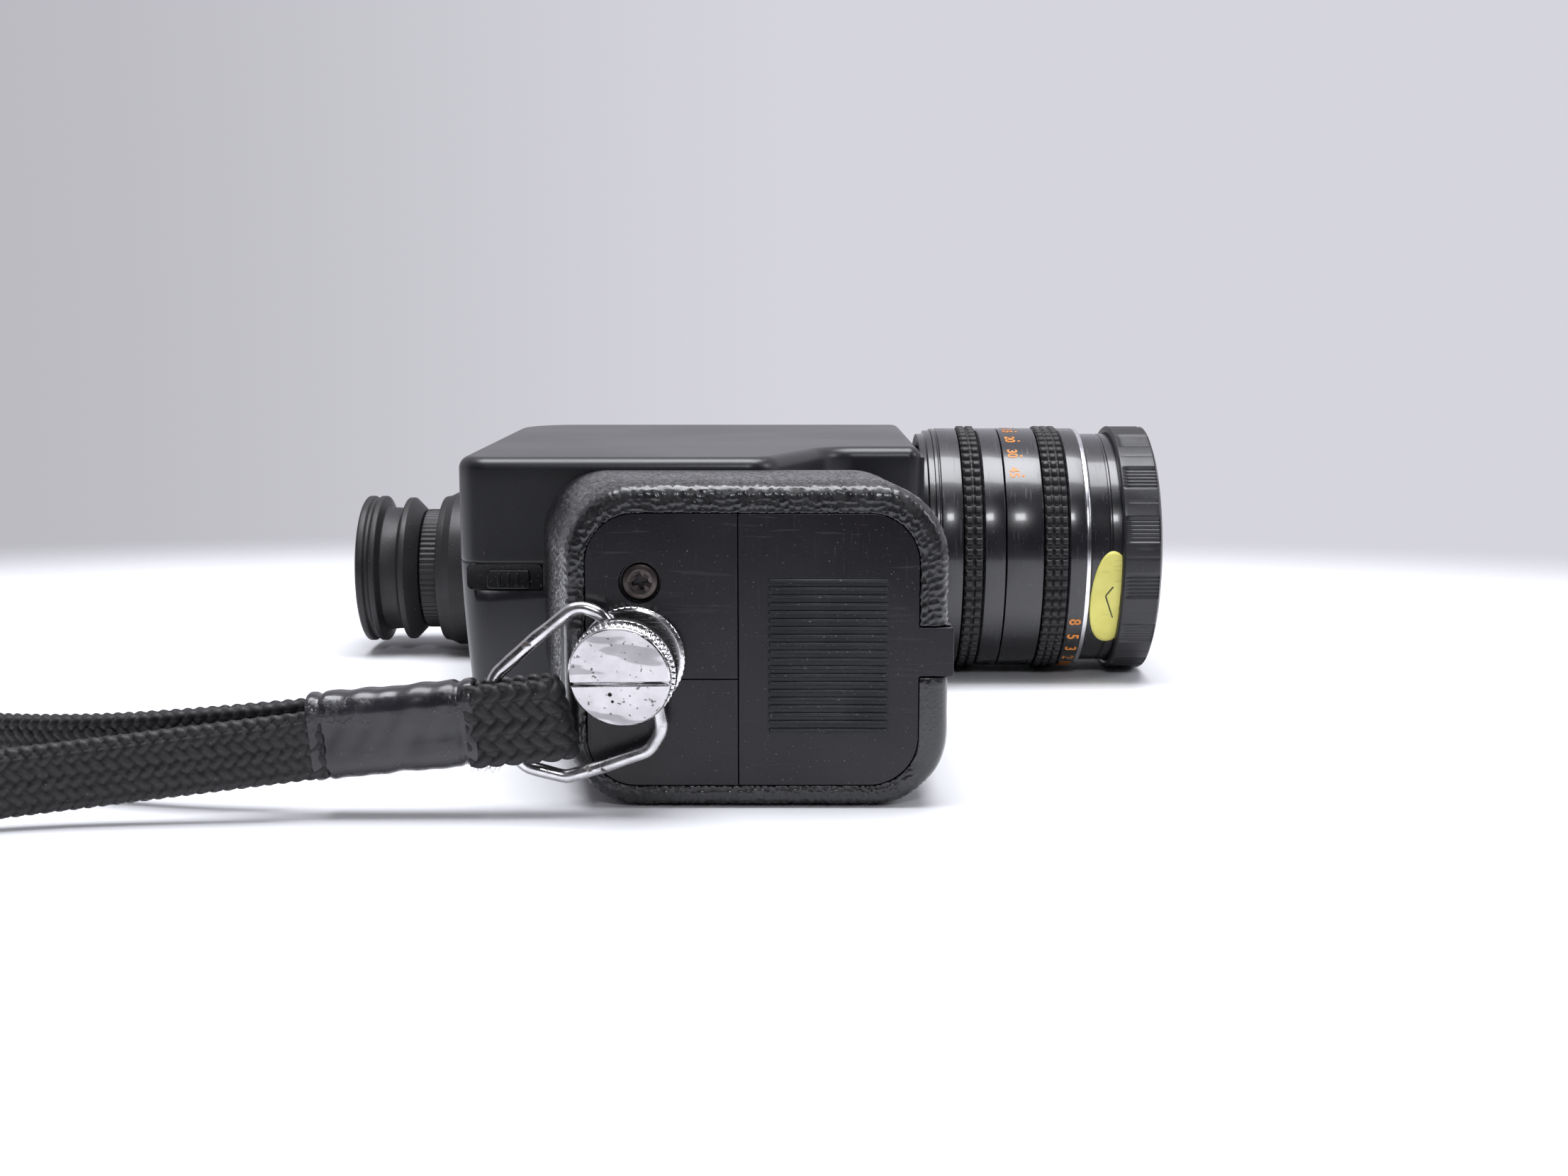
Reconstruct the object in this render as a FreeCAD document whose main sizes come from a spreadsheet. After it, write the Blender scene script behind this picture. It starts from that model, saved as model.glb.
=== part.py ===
"""Cine camera with a pistol grip, lying on its left side with the zoom lens pointing along +X.

Design axes: X runs forward along the lens axis, Y runs from the grip's end up to the camera's top,
Z runs from the camera's left side (on the table) to its right side. Lengths are millimetres.
"""
import FreeCAD, Part
import math
import os
import Sketcher
from FreeCAD import Placement, Rotation, Vector

doc = FreeCAD.newDocument("cine_camera")

# ---------------------------------------------------------------- driving dimensions
DIMENSIONS = {
    # main housing, measured from the lens axis plane (Y = 0)
    "body_rear": 67.0, "body_front": 30.0, "body_low": 60.0, "body_top": 45.0, "body_wide": 54.5,
    "split_height": 33.0, "wall": 2.2, "step_low": 32.0, "step_start": 2.0, "step_end": 11.0,
    "edge_round": 2.5, "rear_round": 6.5, "face_round": 1.8, "gap": 0.3, "shoe_high": 4.0,
    # film chamber and its door
    "chamber_rear": 61.5, "chamber_front": 11.5, "chamber_low": 29.2, "chamber_top": 39.6,
    "chamber_floor": 28.0, "door_sink": 0.5, "door_thick": 1.7, "door_margin": 1.2,
    "door_knuckle": 1.5,
    # pistol grip
    "grip_end": 128.0, "grip_rear_end": 37.0, "grip_front_end": "=cover_front + 5.1",
    "grip_high_end": "=bay_high + 6.4", "grip_rear_neck": 49.0, "grip_front_neck": "=grip_front_end - 1.5",
    "grip_high_neck": "=grip_high_end - 4", "grip_low_neck": 2.0,
    "grip_corner_end": 13.0, "plinth_top": 60.0, "plinth_thick": 6.0,
    "skin_thick": 2.6, "grip_split": 22.5, "base_thick": 2.6, "seam_x": 8.0,
    # battery bay, cells and cover: the bay follows two rows of three cells
    "cell_radius": 7.15, "cell_length": 49.5, "cell_gap": 0.3, "cell_pitch": "=2 * cell_radius + cell_gap",
    "bay_low": 5.2, "bay_high": "=bay_low + 3 * cell_pitch + 0.6",
    "bay_front": "=2 * cell_pitch + 0.8 - seam_x",
    "bay_end": 74.0, "cover_front": "=bay_front + 0.9", "cover_low": 4.0, "cover_high": "=bay_high + 1.2",
    "knuckle_radius": 1.65, "cover_round": 8.5, "tab_low": 23.0, "tab_high": 31.4, "tab_reach": 10.0,
    "pad_rear": 2.6, "pad_front": 17.6, "pad_low": 13.3, "pad_high": 39.8, "rib_pitch": 1.35,
    # strap screw, bush and bail
    "screw_x": 25.6, "screw_z": 26.4, "stud_radius": 3.1, "stud_length": 8.0, "flange_radius": 8.6,
    "flange_thick": 2.6, "neck_radius": 5.2, "neck_thick": 3.2, "head_radius": 9.0, "head_thick": 4.6,
    "slot_wide": 0.9, "bail_wire": 1.15, "phillips_x": 24.3, "phillips_z": 39.1, "phillips_radius": 3.2,
    # zoom lens, distances forward of the housing's front
    "lens_height": 28.5, "ring_radius": 27.9, "knurl_radius": 28.4, "mount_length": 4.0,
    "fixed_end": 9.8, "zoom_knurl_end": 14.3, "zoom_end": 19.5, "scale_end": 27.7,
    "focus_knurl_end": 33.2, "focus_end": 37.1, "trim_end": 38.2, "barrel_radius": 26.6,
    "barrel_end": 47.0, "cap_start": 45.3, "cap_end": 54.2, "filter_radius": "=barrel_radius - 2.6",
    "core_radius": 23.0,
    # eyepiece, distances behind the housing's rear
    "eye_y": 24.0, "eye_z": 20.0, "eye_tube_radius": 9.0, "eye_base_radius": 19.0, "eye_base_end": 17.0,
    "diopter_start": 17.4, "diopter_end": 21.4, "diopter_radius": 16.0, "eyecup_end": 36.5,
    "eyecup_radius": 18.0, "finder_radius": 3.2, "finder_height": 33.1,
    # film transport
    "gear_module": 0.6, "drive_teeth": 48.0, "motor_teeth": 12.0, "take_up_teeth": 36.0,
    "gear_thick": 2.0, "shutter_radius": 15.0,
    # strap, a flat braid
    "braid_wide": 12.0, "braid_thick": 4.2,
}

sheet = doc.addObject("Spreadsheet::Sheet", "dims")
for row, alias in enumerate(DIMENSIONS, start=1):
    sheet.set(f"A{row}", alias)
    sheet.setAlias(f"B{row}", alias)
for row, content in enumerate(DIMENSIONS.values(), start=1):
    sheet.set(f"B{row}", str(content))
doc.recompute()


class Size:
    """A length that knows both its number and the sheet expression it comes from."""

    def __init__(self, value, text):
        self.value = float(value)
        self.text = text

    def __add__(self, other):
        other = as_size(other)
        return Size(self.value + other.value, f"({self.text} + {other.text})")

    def __sub__(self, other):
        other = as_size(other)
        return Size(self.value - other.value, f"({self.text} - {other.text})")

    def __mul__(self, other):
        other = as_size(other)
        return Size(self.value * other.value, f"({self.text} * {other.text})")

    def __truediv__(self, other):
        other = as_size(other)
        return Size(self.value / other.value, f"({self.text} / {other.text})")

    def __neg__(self):
        return Size(-self.value, f"(-1 * {self.text})")

    def __radd__(self, other):
        return as_size(other) + self

    def __rsub__(self, other):
        return as_size(other) - self

    def __rmul__(self, other):
        return as_size(other) * self


def as_size(number):
    """A plain number turned into a Size, a Size left as it is."""
    if isinstance(number, Size):
        return number
    return Size(number, f"{float(number):.6f}" if number >= 0 else f"(-{abs(float(number)):.6f})")


class Sheet:
    """Every alias of the sheet as a Size attribute."""

    def __getattr__(self, alias):
        return Size(sheet.get(alias), f"dims.{alias}")


d = Sheet()
NODES = []
PLACED = {}

# the row's origin is under the middle of the camera's outline
SHIFT_X = (d.body_rear + d.eyecup_end - d.body_front - d.cap_end) / 2
HEAD_FACE = d.grip_end + d.flange_thick + d.neck_thick + d.head_thick
SHIFT_Y = (HEAD_FACE - d.body_top - d.shoe_high) / 2


# ---------------------------------------------------------------- building helpers
def bind(feature, **sizes):
    """Binds each named property of a feature to its sheet expression."""
    for name, size in sizes.items():
        feature.setExpression(name, as_size(size).text)
    return feature


def place(feature, x=0.0, y=0.0, z=0.0, turn=None):
    """Puts a feature at x, y, z, each bound to the sheet, after an optional turn."""
    where = [as_size(v) for v in (x, y, z)]
    feature.Placement = Placement(Vector(*[v.value for v in where]), turn or Rotation())
    for axis, size in zip("xyz", where):
        feature.setExpression(f"Placement.Base.{axis}", size.text)
    PLACED[feature.Name] = where
    return feature


def node(label, feature, x=0.0, y=0.0, z=0.0):
    """Registers a finished sub-part and moves it from the design's origin to the row's."""
    feature.Label = label
    own = PLACED.get(feature.Name, (0.0, 0.0, 0.0))
    at_x, at_y, at_z = [as_size(a) + b for a, b in zip((x, y, z), own)]
    place(feature, at_x + SHIFT_X, at_y + SHIFT_Y, at_z, feature.Placement.Rotation)
    NODES.append(feature)
    return feature


def block(x0, x1, y0, y1, z0, z1):
    """A box between two corners."""
    box = doc.addObject("Part::Box", "block")
    x0, x1, y0, y1, z0, z1 = [as_size(v) for v in (x0, x1, y0, y1, z0, z1)]
    bind(box, Length=x1 - x0, Width=y1 - y0, Height=z1 - z0)
    return place(box, x0, y0, z0)


ALONG = {"x": Rotation(Vector(0, 1, 0), 90), "y": Rotation(Vector(1, 0, 0), -90), "z": Rotation()}


def rod(radius, length, x=0.0, y=0.0, z=0.0, along="z"):
    """A cylinder that starts at x, y, z and runs along +X, +Y or +Z."""
    cylinder = doc.addObject("Part::Cylinder", "rod")
    bind(cylinder, Radius=radius, Height=length)
    return place(cylinder, x, y, z, ALONG[along])


def cut(base, *tools):
    """The base with every tool taken away."""
    for tool in tools:
        result = doc.addObject("Part::Cut", "cut")
        result.Base, result.Tool = base, tool
        base = result
    return base


def fuse(*pieces):
    """Pieces joined into one solid."""
    result = doc.addObject("Part::MultiFuse", "fuse")
    result.Shapes = list(pieces)
    result.Refine = True
    return result


def common(base, tool):
    """The stretch that both solids fill."""
    result = doc.addObject("Part::Common", "common")
    result.Base, result.Tool = base, tool
    return result


def group(*pieces):
    """Separate identical solids kept in one node."""
    result = doc.addObject("Part::Compound", "group")
    result.Links = list(pieces)
    return result


def origin_part(body, role):
    """An origin plane or axis of a body, found by its role."""
    return [item for item in body.Origin.OriginFeatures if item.Role == role][0]


def outline(body, plane, points, offset=0.0):
    """A closed sketch of straight edges whose every corner is held to the sheet."""
    sketch = body.newObject("Sketcher::SketchObject", "outline")
    sketch.AttachmentSupport = [(origin_part(body, plane), "")]
    sketch.MapMode = "FlatFace"
    sketch.setExpression("AttachmentOffset.Base.z", as_size(offset).text)
    corners = [(as_size(u), as_size(v)) for u, v in points]
    count = len(corners)
    for index in range(count):
        (u0, v0), (u1, v1) = corners[index], corners[(index + 1) % count]
        start, end = Vector(u0.value, v0.value, 0), Vector(u1.value, v1.value, 0)
        sketch.addGeometry(Part.LineSegment(start, end), False)
    for index in range(count):
        following = (index + 1) % count
        sketch.addConstraint(Sketcher.Constraint("Coincident", index, 2, following, 1))
    for index, (u, v) in enumerate(corners):
        for kind, size in (("DistanceX", u), ("DistanceY", v)):
            held = sketch.addConstraint(Sketcher.Constraint(kind, -1, 1, index, 1, size.value))
            sketch.setExpression(f"Constraints[{held}]", size.text)
    return sketch


def prism(points, start, length, plane="XY_Plane"):
    """A body padded from a straight-edged outline."""
    body = doc.addObject("PartDesign::Body", "prism")
    pad = body.newObject("PartDesign::Pad", "pad")
    pad.Profile = outline(body, plane, points, start)
    bind(pad, Length=length)
    doc.recompute()
    return body


def pocket(body, points, start, depth, plane="XY_Plane", reverse=False):
    """Takes a straight-edged pocket out of a body and checks that it cut."""
    before = body.Shape.Volume
    sketch = outline(body, plane, points, start)
    hollow = body.newObject("PartDesign::Pocket", "pocket")
    hollow.Profile = sketch
    hollow.Reversed = reverse
    bind(hollow, Length=depth)
    doc.recompute()
    if not body.Shape.Volume < before - 0.5:
        raise ValueError("a pocket cut nothing")
    return body


def rounded(body, radius, chosen):
    """Fillets the body's edges that the chosen test picks out."""
    names = [f"Edge{i}" for i, edge in enumerate(body.Shape.Edges, start=1) if chosen(edge)]
    if not names:
        raise ValueError("no edge to round")
    base = body.Tip
    fillet = body.newObject("PartDesign::Fillet", "fillet")
    fillet.Base = (base, names)
    bind(fillet, Radius=radius)
    doc.recompute()
    return body


def upright(edge, x, y, axis=2):
    """True for an edge parallel to Z that stands at x, y."""
    box = edge.BoundBox
    span = (box.XLength, box.YLength, box.ZLength)
    flat = all(span[i] < 1e-6 for i in range(3) if i != axis)
    return flat and abs(box.Center.x - x) < 0.01 and abs(box.Center.y - y) < 0.01


def ring(profile):
    """A body turned about its own X axis from (distance along X, radius) corners."""
    body = doc.addObject("PartDesign::Body", "ring")
    turned = body.newObject("PartDesign::Revolution", "turned")
    turned.Profile = outline(body, "XY_Plane", profile)
    turned.ReferenceAxis = (origin_part(body, "X_Axis"), [""])
    turned.Angle = 360.0
    doc.recompute()
    return body


def tube_profile(x0, x1, inner, outer):
    """The four corners of a plain ring."""
    return [(x0, inner), (x1, inner), (x1, outer), (x0, outer)]


def lens_node(label, feature):
    """Registers a piece whose own X axis is the lens axis."""
    return node(label, feature, d.body_front, 0, d.lens_height)


def eye_node(label, feature):
    """Registers a piece whose own X axis is the eyepiece axis."""
    return node(label, feature, -d.body_rear, d.eye_y, d.eye_z)


# ---------------------------------------------------------------- main housing
DIAL_X, DIAL_Z, DIAL_RADIUS = -48.0, 43.0, 8.5
ROCKER_X, ROCKER_Z = -8.0, 43.5


def housing_outline(inset):
    """The housing's side view: a block whose belly steps up behind the lens."""
    return [(-d.body_rear + inset, -d.body_low + inset), (-d.step_start - inset / 2, -d.body_low + inset),
            (d.step_end - inset / 2, -d.step_low + inset), (d.body_front - inset, -d.step_low + inset),
            (d.body_front - inset, d.body_top - inset), (-d.body_rear + inset, d.body_top - inset)]


def housing_half(low, high, hollow_from, hollow_depth, face_round, on_face):
    """One moulded half of the housing, hollow on the side of the split."""
    half = prism(housing_outline(as_size(0)), low, high - low)
    rear, top, low_y = -d.body_rear.value, d.body_top.value, -d.body_low.value
    rounded(half, d.rear_round, lambda e: upright(e, rear, top))
    rounded(half, d.edge_round, lambda e: upright(e, rear, low_y) or upright(e, d.body_front.value, top))
    rounded(half, face_round, on_face)
    return pocket(half, housing_outline(d.wall), hollow_from, hollow_depth, reverse=True)


def flat_at(edge, level):
    """Whether an edge lies flat at this height."""
    return edge.BoundBox.ZLength < 1e-6 and abs(edge.BoundBox.Center.z - level) < 1e-3


def lens_hole():
    """Clearance for the lens mount through the housing's front wall."""
    return rod(d.core_radius - 2, d.wall * 4, d.body_front - d.wall * 2, 0, d.lens_height, "x")


def finder_hole():
    """The viewfinder's light path through the housing's rear wall."""
    return rod(d.finder_radius + 0.1, d.wall * 4, -d.body_rear - d.wall, d.eye_y, d.finder_height, "x")


def neck_hole(z0, z1):
    """The wiring and trigger passage from the grip into the housing."""
    return block(-20, -4, -d.body_low - 1, -d.body_low + d.wall * 2, z0, z1)


def dial_seat():
    """The recess that the filming-speed dial turns in."""
    return rod(DIAL_RADIUS + 0.3, 12, DIAL_X, d.body_top - 1.2, DIAL_Z, "y")


def rocker_seat():
    """The slot that the power-zoom rocker sits in."""
    return block(ROCKER_X - 11.3, ROCKER_X + 11.3, d.body_top - 6, d.body_top + 1,
                 ROCKER_Z - 4.3, ROCKER_Z + 4.3)


def body_shell_right():
    half = housing_half(d.split_height, d.body_wide, d.split_height, d.body_wide - d.split_height - d.wall,
                        d.face_round, lambda edge: flat_at(edge, d.body_wide.value))
    seats = [dial_seat(), rocker_seat(), rocker_pivot(0.06), lens_hole(), finder_hole(),
             neck_hole(d.split_height - 1, 44)]
    return cut(half, *seats)


def rear_foot(edge):
    """Whether an edge is the long one between the housing's rear and its left face."""
    box = edge.BoundBox
    long_enough = box.YLength > d.wall.value * 9
    return flat_at(edge, 0) and long_enough and abs(box.Center.x + d.body_rear.value) < 1e-3


def body_shell_left():
    half = housing_half(as_size(0), d.split_height, d.wall, d.split_height, d.rear_round, rear_foot)
    margin = d.door_margin
    door_way = block(-d.chamber_rear - margin, d.chamber_front + margin, -d.chamber_low - margin,
                     d.chamber_top + margin, -1, d.wall * 2)
    latch_way = block(-64.5, -49.5, -d.body_low - 1, -d.body_low + 1.0, 26.8, d.split_height - 0.8)
    return cut(half, door_way, latch_way, lens_hole(), finder_hole(), neck_hole(10, d.split_height + 1))


def chassis():
    """The die-cast frame: chamber walls, mechanism plate and front bulkhead in one piece."""
    plate_high = d.chamber_floor + 1.6
    plate = block(-d.body_rear, d.chamber_front + 1.6, -d.body_low, d.body_top, d.chamber_floor, plate_high)
    ceiling = block(-d.chamber_rear, d.chamber_front, d.chamber_top, d.chamber_top + 1.4,
                    d.wall + 1.8, d.chamber_floor)
    sill = block(-d.chamber_rear, d.chamber_front, -d.chamber_low - 1.4, -d.chamber_low,
                 d.wall + 1.8, d.chamber_floor)
    bulkhead = block(d.chamber_front, d.chamber_front + 1.6, -d.chamber_low - 1.4, d.chamber_top + 1.4,
                     d.wall + 1.8, d.chamber_floor)
    room = prism(housing_outline(d.wall + 0.2), d.wall, d.split_height)
    gate_way = block(d.chamber_front - 1, d.chamber_front + 3, -5.5, 5.5, 18, d.chamber_floor - 1)
    take_x, take_y = take_up_place()
    return cut(common(fuse(plate, ceiling, sill, bulkhead), room), gate_way,
               rod(3.2, 4, take_x, take_y, d.chamber_floor - 1))


def film_gate():
    plate = block(d.chamber_front + 1.6, d.chamber_front + 3.0, -9, 9, 18, 27.6)
    window = block(d.chamber_front, d.chamber_front + 5, -2.1, 2.1, 20, 25.8)
    claw_way = block(d.chamber_front, d.chamber_front + 5, -5.6, -4.0, 21.8, 23.3)
    return cut(plate, window, claw_way)


def film_claw():
    arm = block(d.chamber_front + 3.3, d.chamber_front + 4.1, -14, -4, 21, 24)
    tooth = block(d.chamber_front + 1.65, d.chamber_front + 3.4, -5.2, -4.4, 22.2, 22.9)
    return cut(fuse(arm, tooth), rod(0.9, 3, d.chamber_front + 3, -12, 22.5, "x"))


def circuit_board():
    board = block(-58, -2, 18, 36, 45, 46.4)
    chips = [block(x, x + 7, 22, 29, 46.4, 48.2) for x in (-52, -40, -28, -16)]
    return fuse(board, *chips)


def film_door():
    """A flat door whose front edge is one long hinge knuckle."""
    edge = d.door_margin - d.gap
    axis_x, axis_z = door_hinge_line()
    plate = prism([(-d.chamber_rear - edge, -d.chamber_low - edge), (axis_x, -d.chamber_low - edge),
                   (axis_x, d.chamber_top + edge), (-d.chamber_rear - edge, d.chamber_top + edge)],
                  d.door_sink, d.door_thick)
    rear, low, high = plate.Shape.BoundBox.XMin, plate.Shape.BoundBox.YMin, plate.Shape.BoundBox.YMax
    rounded(plate, d.edge_round, lambda e: upright(e, rear, low) or upright(e, rear, high))
    knuckle = rod(d.door_knuckle, d.chamber_top + d.chamber_low, axis_x, -d.chamber_low, axis_z, "y")
    return cut(fuse(plate, knuckle), rod(0.8, 90, axis_x, -45, axis_z, "y"))


def door_hinge_line():
    """The film door's hinge axis: its distance forward and its height."""
    return d.chamber_front + d.door_margin - d.gap - d.door_knuckle, d.door_sink + d.door_knuckle


def door_hinge_pin():
    axis_x, axis_z = door_hinge_line()
    return rod(0.75, d.chamber_top + d.chamber_low + 2, axis_x, -d.chamber_low - 1, axis_z, "y")


def door_latch():
    slider = block(-61, -52, -d.body_low - 0.4, -d.body_low + 0.9, 27.4, d.split_height - 1.4)
    ridges = [block(x, x + 0.8, -d.body_low - 1.0, -d.body_low - 0.3, 28, d.split_height - 2)
              for x in (-59.5, -57.5, -55.5, -53.8)]
    return fuse(slider, *ridges)


def accessory_shoe():
    """A folded plate with two rails, screwed to the camera's top."""
    base = block(-40, -22, d.body_top, d.body_top + 1.2, 14, 34)
    rails = []
    for z0, z1, inner in ((14, 15.2, 17.2), (32.8, 34, 30.8)):
        rails.append(block(-40, -22, d.body_top, d.body_top + d.shoe_high, z0, z1))
        low, high = sorted((inner, z0))
        rails.append(block(-40, -22, d.body_top + d.shoe_high - 1.2, d.body_top + d.shoe_high, low, high))
    return fuse(base, *rails)


def speed_dial():
    dial = rod(DIAL_RADIUS, 4.0, DIAL_X, d.body_top - 1.0, DIAL_Z, "y")
    grooves = []
    for step in range(16):
        turn = math.radians(step * 22.5)
        grooves.append(rod(0.7, 3.2, DIAL_X + DIAL_RADIUS * math.cos(turn), d.body_top + 0.4,
                           DIAL_Z + DIAL_RADIUS * math.sin(turn), "y"))
    return cut(dial, *grooves)


def rocker_pivot(slack):
    """The rocker's cross pin, or its bearing when given some slack."""
    return rod(1.0 + slack, 10 + slack * 6, ROCKER_X, d.body_top - 2.6, ROCKER_Z - 5 - slack * 3)


def zoom_rocker():
    cap = block(ROCKER_X - 10.5, ROCKER_X + 10.5, d.body_top - 2.2, d.body_top + 2.0,
                ROCKER_Z - 4, ROCKER_Z + 4)
    dish = rod(26, 12, ROCKER_X, d.body_top + 27.2, ROCKER_Z - 6, "z")
    return fuse(cut(cap, dish), rocker_pivot(0.0))


def front_plate():
    """The trim plate round the lens, open for the mount."""
    plate = block(d.body_front, d.body_front + 0.8, -d.step_low + 3, d.body_top - 3, 2.5, d.body_wide - 2.5)
    return cut(plate, rod(d.core_radius + 1.2, 6, d.body_front - 2, 0, d.lens_height, "x"))


# ---------------------------------------------------------------- film transport
DRIVE_X, DRIVE_Y = -14.0, -10.0
TAKE_UP_DIRECTION = 150.0


def gear_shape(teeth, module, thick, bore):
    """A spur gear with straight-flanked teeth, one tooth centred on +X."""
    pitch = module * teeth / 2
    tip, root = pitch + 0.85 * module, pitch - 1.15 * module
    step = 2 * math.pi / teeth
    corners = []
    for tooth in range(int(teeth)):
        middle = tooth * step
        for radius, share in ((root, -0.30), (tip, -0.11), (tip, 0.11), (root, 0.30)):
            angle = middle + share * step
            corners.append(Vector(radius * math.cos(angle), radius * math.sin(angle), 0))
    corners.append(corners[0])
    blank = Part.Face(Part.makePolygon(corners)).extrude(Vector(0, 0, thick))
    return blank.cut(Part.makeCylinder(bore, thick * 3, Vector(0, 0, -thick)))


def gear(teeth, x, y, z, bore, phase):
    """A spur gear read from the sheet, with its tooth phase in degrees."""
    wheel = doc.addObject("Part::Feature", "gear")
    wheel.Shape = gear_shape(teeth.value, d.gear_module.value, d.gear_thick.value, bore)
    return place(wheel, x, y, z, Rotation(Vector(0, 0, 1), phase))


def mesh_distance(teeth_a, teeth_b):
    """Centre distance of two meshing gears."""
    return d.gear_module * (teeth_a + teeth_b) / 2


def take_up_place():
    """Where the take-up spindle stands, in mesh with the drive gear."""
    heading = math.radians(TAKE_UP_DIRECTION)
    near = mesh_distance(d.drive_teeth, d.take_up_teeth)
    return DRIVE_X + near * math.cos(heading), DRIVE_Y + near * math.sin(heading)


def transport():
    """Motor, gears and take-up spindle on the mechanism plate."""
    level = d.chamber_floor + 1.9
    take_x, take_y = take_up_place()
    motor_x, motor_y = DRIVE_X, DRIVE_Y - mesh_distance(d.drive_teeth, d.motor_teeth)
    node("drive_gear", gear(d.drive_teeth, DRIVE_X, DRIVE_Y, level, 1.55, 0))
    node("drive_shaft", rod(1.5, 6, DRIVE_X, DRIVE_Y, d.chamber_floor + 1.6))
    pinion = gear(d.motor_teeth, motor_x, motor_y, level, 0.9, 180.0 / d.motor_teeth.value)
    node("motor_pinion", fuse(pinion, rod(1.0, 12, motor_x, motor_y, level)))
    motor = fuse(rod(8.5, 17, motor_x, motor_y, level + d.gear_thick + 0.6),
                 rod(3, 0.4, motor_x, motor_y, level + d.gear_thick + 0.2))
    node("drive_motor", cut(motor, rod(1.1, 19, motor_x, motor_y, level)))
    wheel = gear(d.take_up_teeth, take_x, take_y, level, 2.4, take_up_phase(TAKE_UP_DIRECTION))
    dog = block(take_x - 3.0, take_x + 3.0, take_y - 0.5, take_y + 0.5, d.chamber_floor - 1.6,
                d.chamber_floor - 0.3)
    node("take_up_spindle", fuse(rod(2.5, 5.6, take_x, take_y, d.chamber_floor - 1.6), dog, wheel))


def take_up_phase(direction):
    """Turn of the take-up gear that drops one of its gaps on the drive gear's tooth line."""
    drive_step, take_step = 360 / d.drive_teeth.value, 360 / d.take_up_teeth.value
    ahead = (direction % drive_step) / drive_step
    facing = direction + 180
    return (facing - (0.5 - ahead) * take_step) % take_step


def shutter():
    """A half disc on a shaft that runs along the lens axis direction."""
    disc = cut(rod(d.shutter_radius, 0.6, SHUTTER_X, SHUTTER_Y, SHUTTER_Z, "x"),
               block(SHUTTER_X - 1, SHUTTER_X + 2, SHUTTER_Y - 20, SHUTTER_Y - 2.5, SHUTTER_Z - 20,
                     SHUTTER_Z + 20))
    node("shutter_disc", fuse(disc, rod(1.2, 7, SHUTTER_X - 1.5, SHUTTER_Y, SHUTTER_Z, "x")))


SHUTTER_X, SHUTTER_Y, SHUTTER_Z = 17.6, 9.0, 33.0



# ---------------------------------------------------------------- zoom lens
def lens():
    """The lens from the mount flange to the push-on cap, every ring turned about the lens axis."""
    core, ring_r, knurl_r = d.core_radius - 3, d.ring_radius, d.knurl_radius
    bed = ring_r - 1.1
    fit = core + 0.05
    lens_node("lens_core", ring([(-4.0, 9.0), (2.0, 9.0), (2.0, core - 3), (d.scale_end + 8.0, core - 3),
                                 (d.scale_end + 8.0, core), (-4.0, core)]))
    lens_node("lens_flange", ring([(0.9, core), (d.mount_length, core), (d.mount_length, ring_r - 0.5),
                                   (2.6, ring_r - 0.5), (2.6, ring_r - 1.3), (0.9, ring_r - 1.3)]))
    lens_node("fixed_ring", ring(tube_profile(d.mount_length, d.fixed_end, core, ring_r)))
    zoom_low, zoom_high = d.fixed_end + d.gap, d.zoom_end - d.gap
    lens_node("zoom_ring", ring([(zoom_low, fit), (zoom_high, fit), (zoom_high, ring_r),
                                 (d.zoom_knurl_end, ring_r), (d.zoom_knurl_end, bed), (zoom_low, bed)]))
    lens_node("zoom_grip", ring(tube_profile(zoom_low, d.zoom_knurl_end, bed, knurl_r)))
    lens_node("scale_ring", ring(tube_profile(d.zoom_end, d.scale_end, core, ring_r)))
    focus_low = d.scale_end + d.gap
    lens_node("focus_ring", ring([(focus_low, fit), (d.focus_end, fit), (d.focus_end, ring_r),
                                  (d.focus_knurl_end, ring_r), (d.focus_knurl_end, bed),
                                  (focus_low, bed)]))
    lens_node("focus_grip", ring(tube_profile(focus_low, d.focus_knurl_end, bed, knurl_r)))
    lens_node("trim_ring", ring(tube_profile(d.focus_end, d.trim_end, d.filter_radius, ring_r - 0.2)))
    thread = d.filter_radius
    seat, step = thread - 5, d.trim_end + 1.2
    lens_node("front_barrel", ring([(d.trim_end, seat), (step, seat), (step, thread), (d.barrel_end, thread),
                                    (d.barrel_end, d.barrel_radius), (d.trim_end, d.barrel_radius)]))
    lens_node("front_element", ring([(d.focus_end, 0), (step - 0.2, 0), (step - 0.4, seat * 0.5),
                                     (step - 0.8, seat), (d.focus_end, seat)]))
    lens_node("variator_cell", ring(tube_profile(8.0, 14.0, 12.0, core - 3.05)))
    lens_node("variator_lens", ring([(9.5, 0), (12.0, 0), (12.8, 12.0), (8.7, 12.0)]))
    lens_node("relay_lens", ring([(-3.2, 0), (1.6, 0), (0.4, 9.0), (-2.4, 9.0)]))
    skirt = d.barrel_radius + 0.1
    lens_node("lens_cap", ring([(d.cap_start, skirt), (d.barrel_end + 3.0, skirt), (d.barrel_end + 3.0, 0),
                                (d.cap_end, 0), (d.cap_end, knurl_r - 1.6), (d.cap_end - 0.8, knurl_r),
                                (d.cap_start, knurl_r)]))


def inspection_sticker():
    """A thin oval label on the front barrel, low on the grip side."""
    oval = doc.addObject("Part::Cylinder", "oval")
    bind(oval, Radius=5.2, Height=60)
    place(oval, 41.9 + d.body_front, -60, d.lens_height - 8.0, ALONG["y"])
    barrel = d.barrel_radius
    sleeve = ring(tube_profile(d.trim_end + 0.2, d.cap_start - 0.2, barrel, barrel + 0.08))
    place(sleeve, d.body_front, 0, d.lens_height)
    low_half = block(60, 90, -40, 0, 0, 60)
    return common(common(sleeve, oval), low_half)


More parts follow.
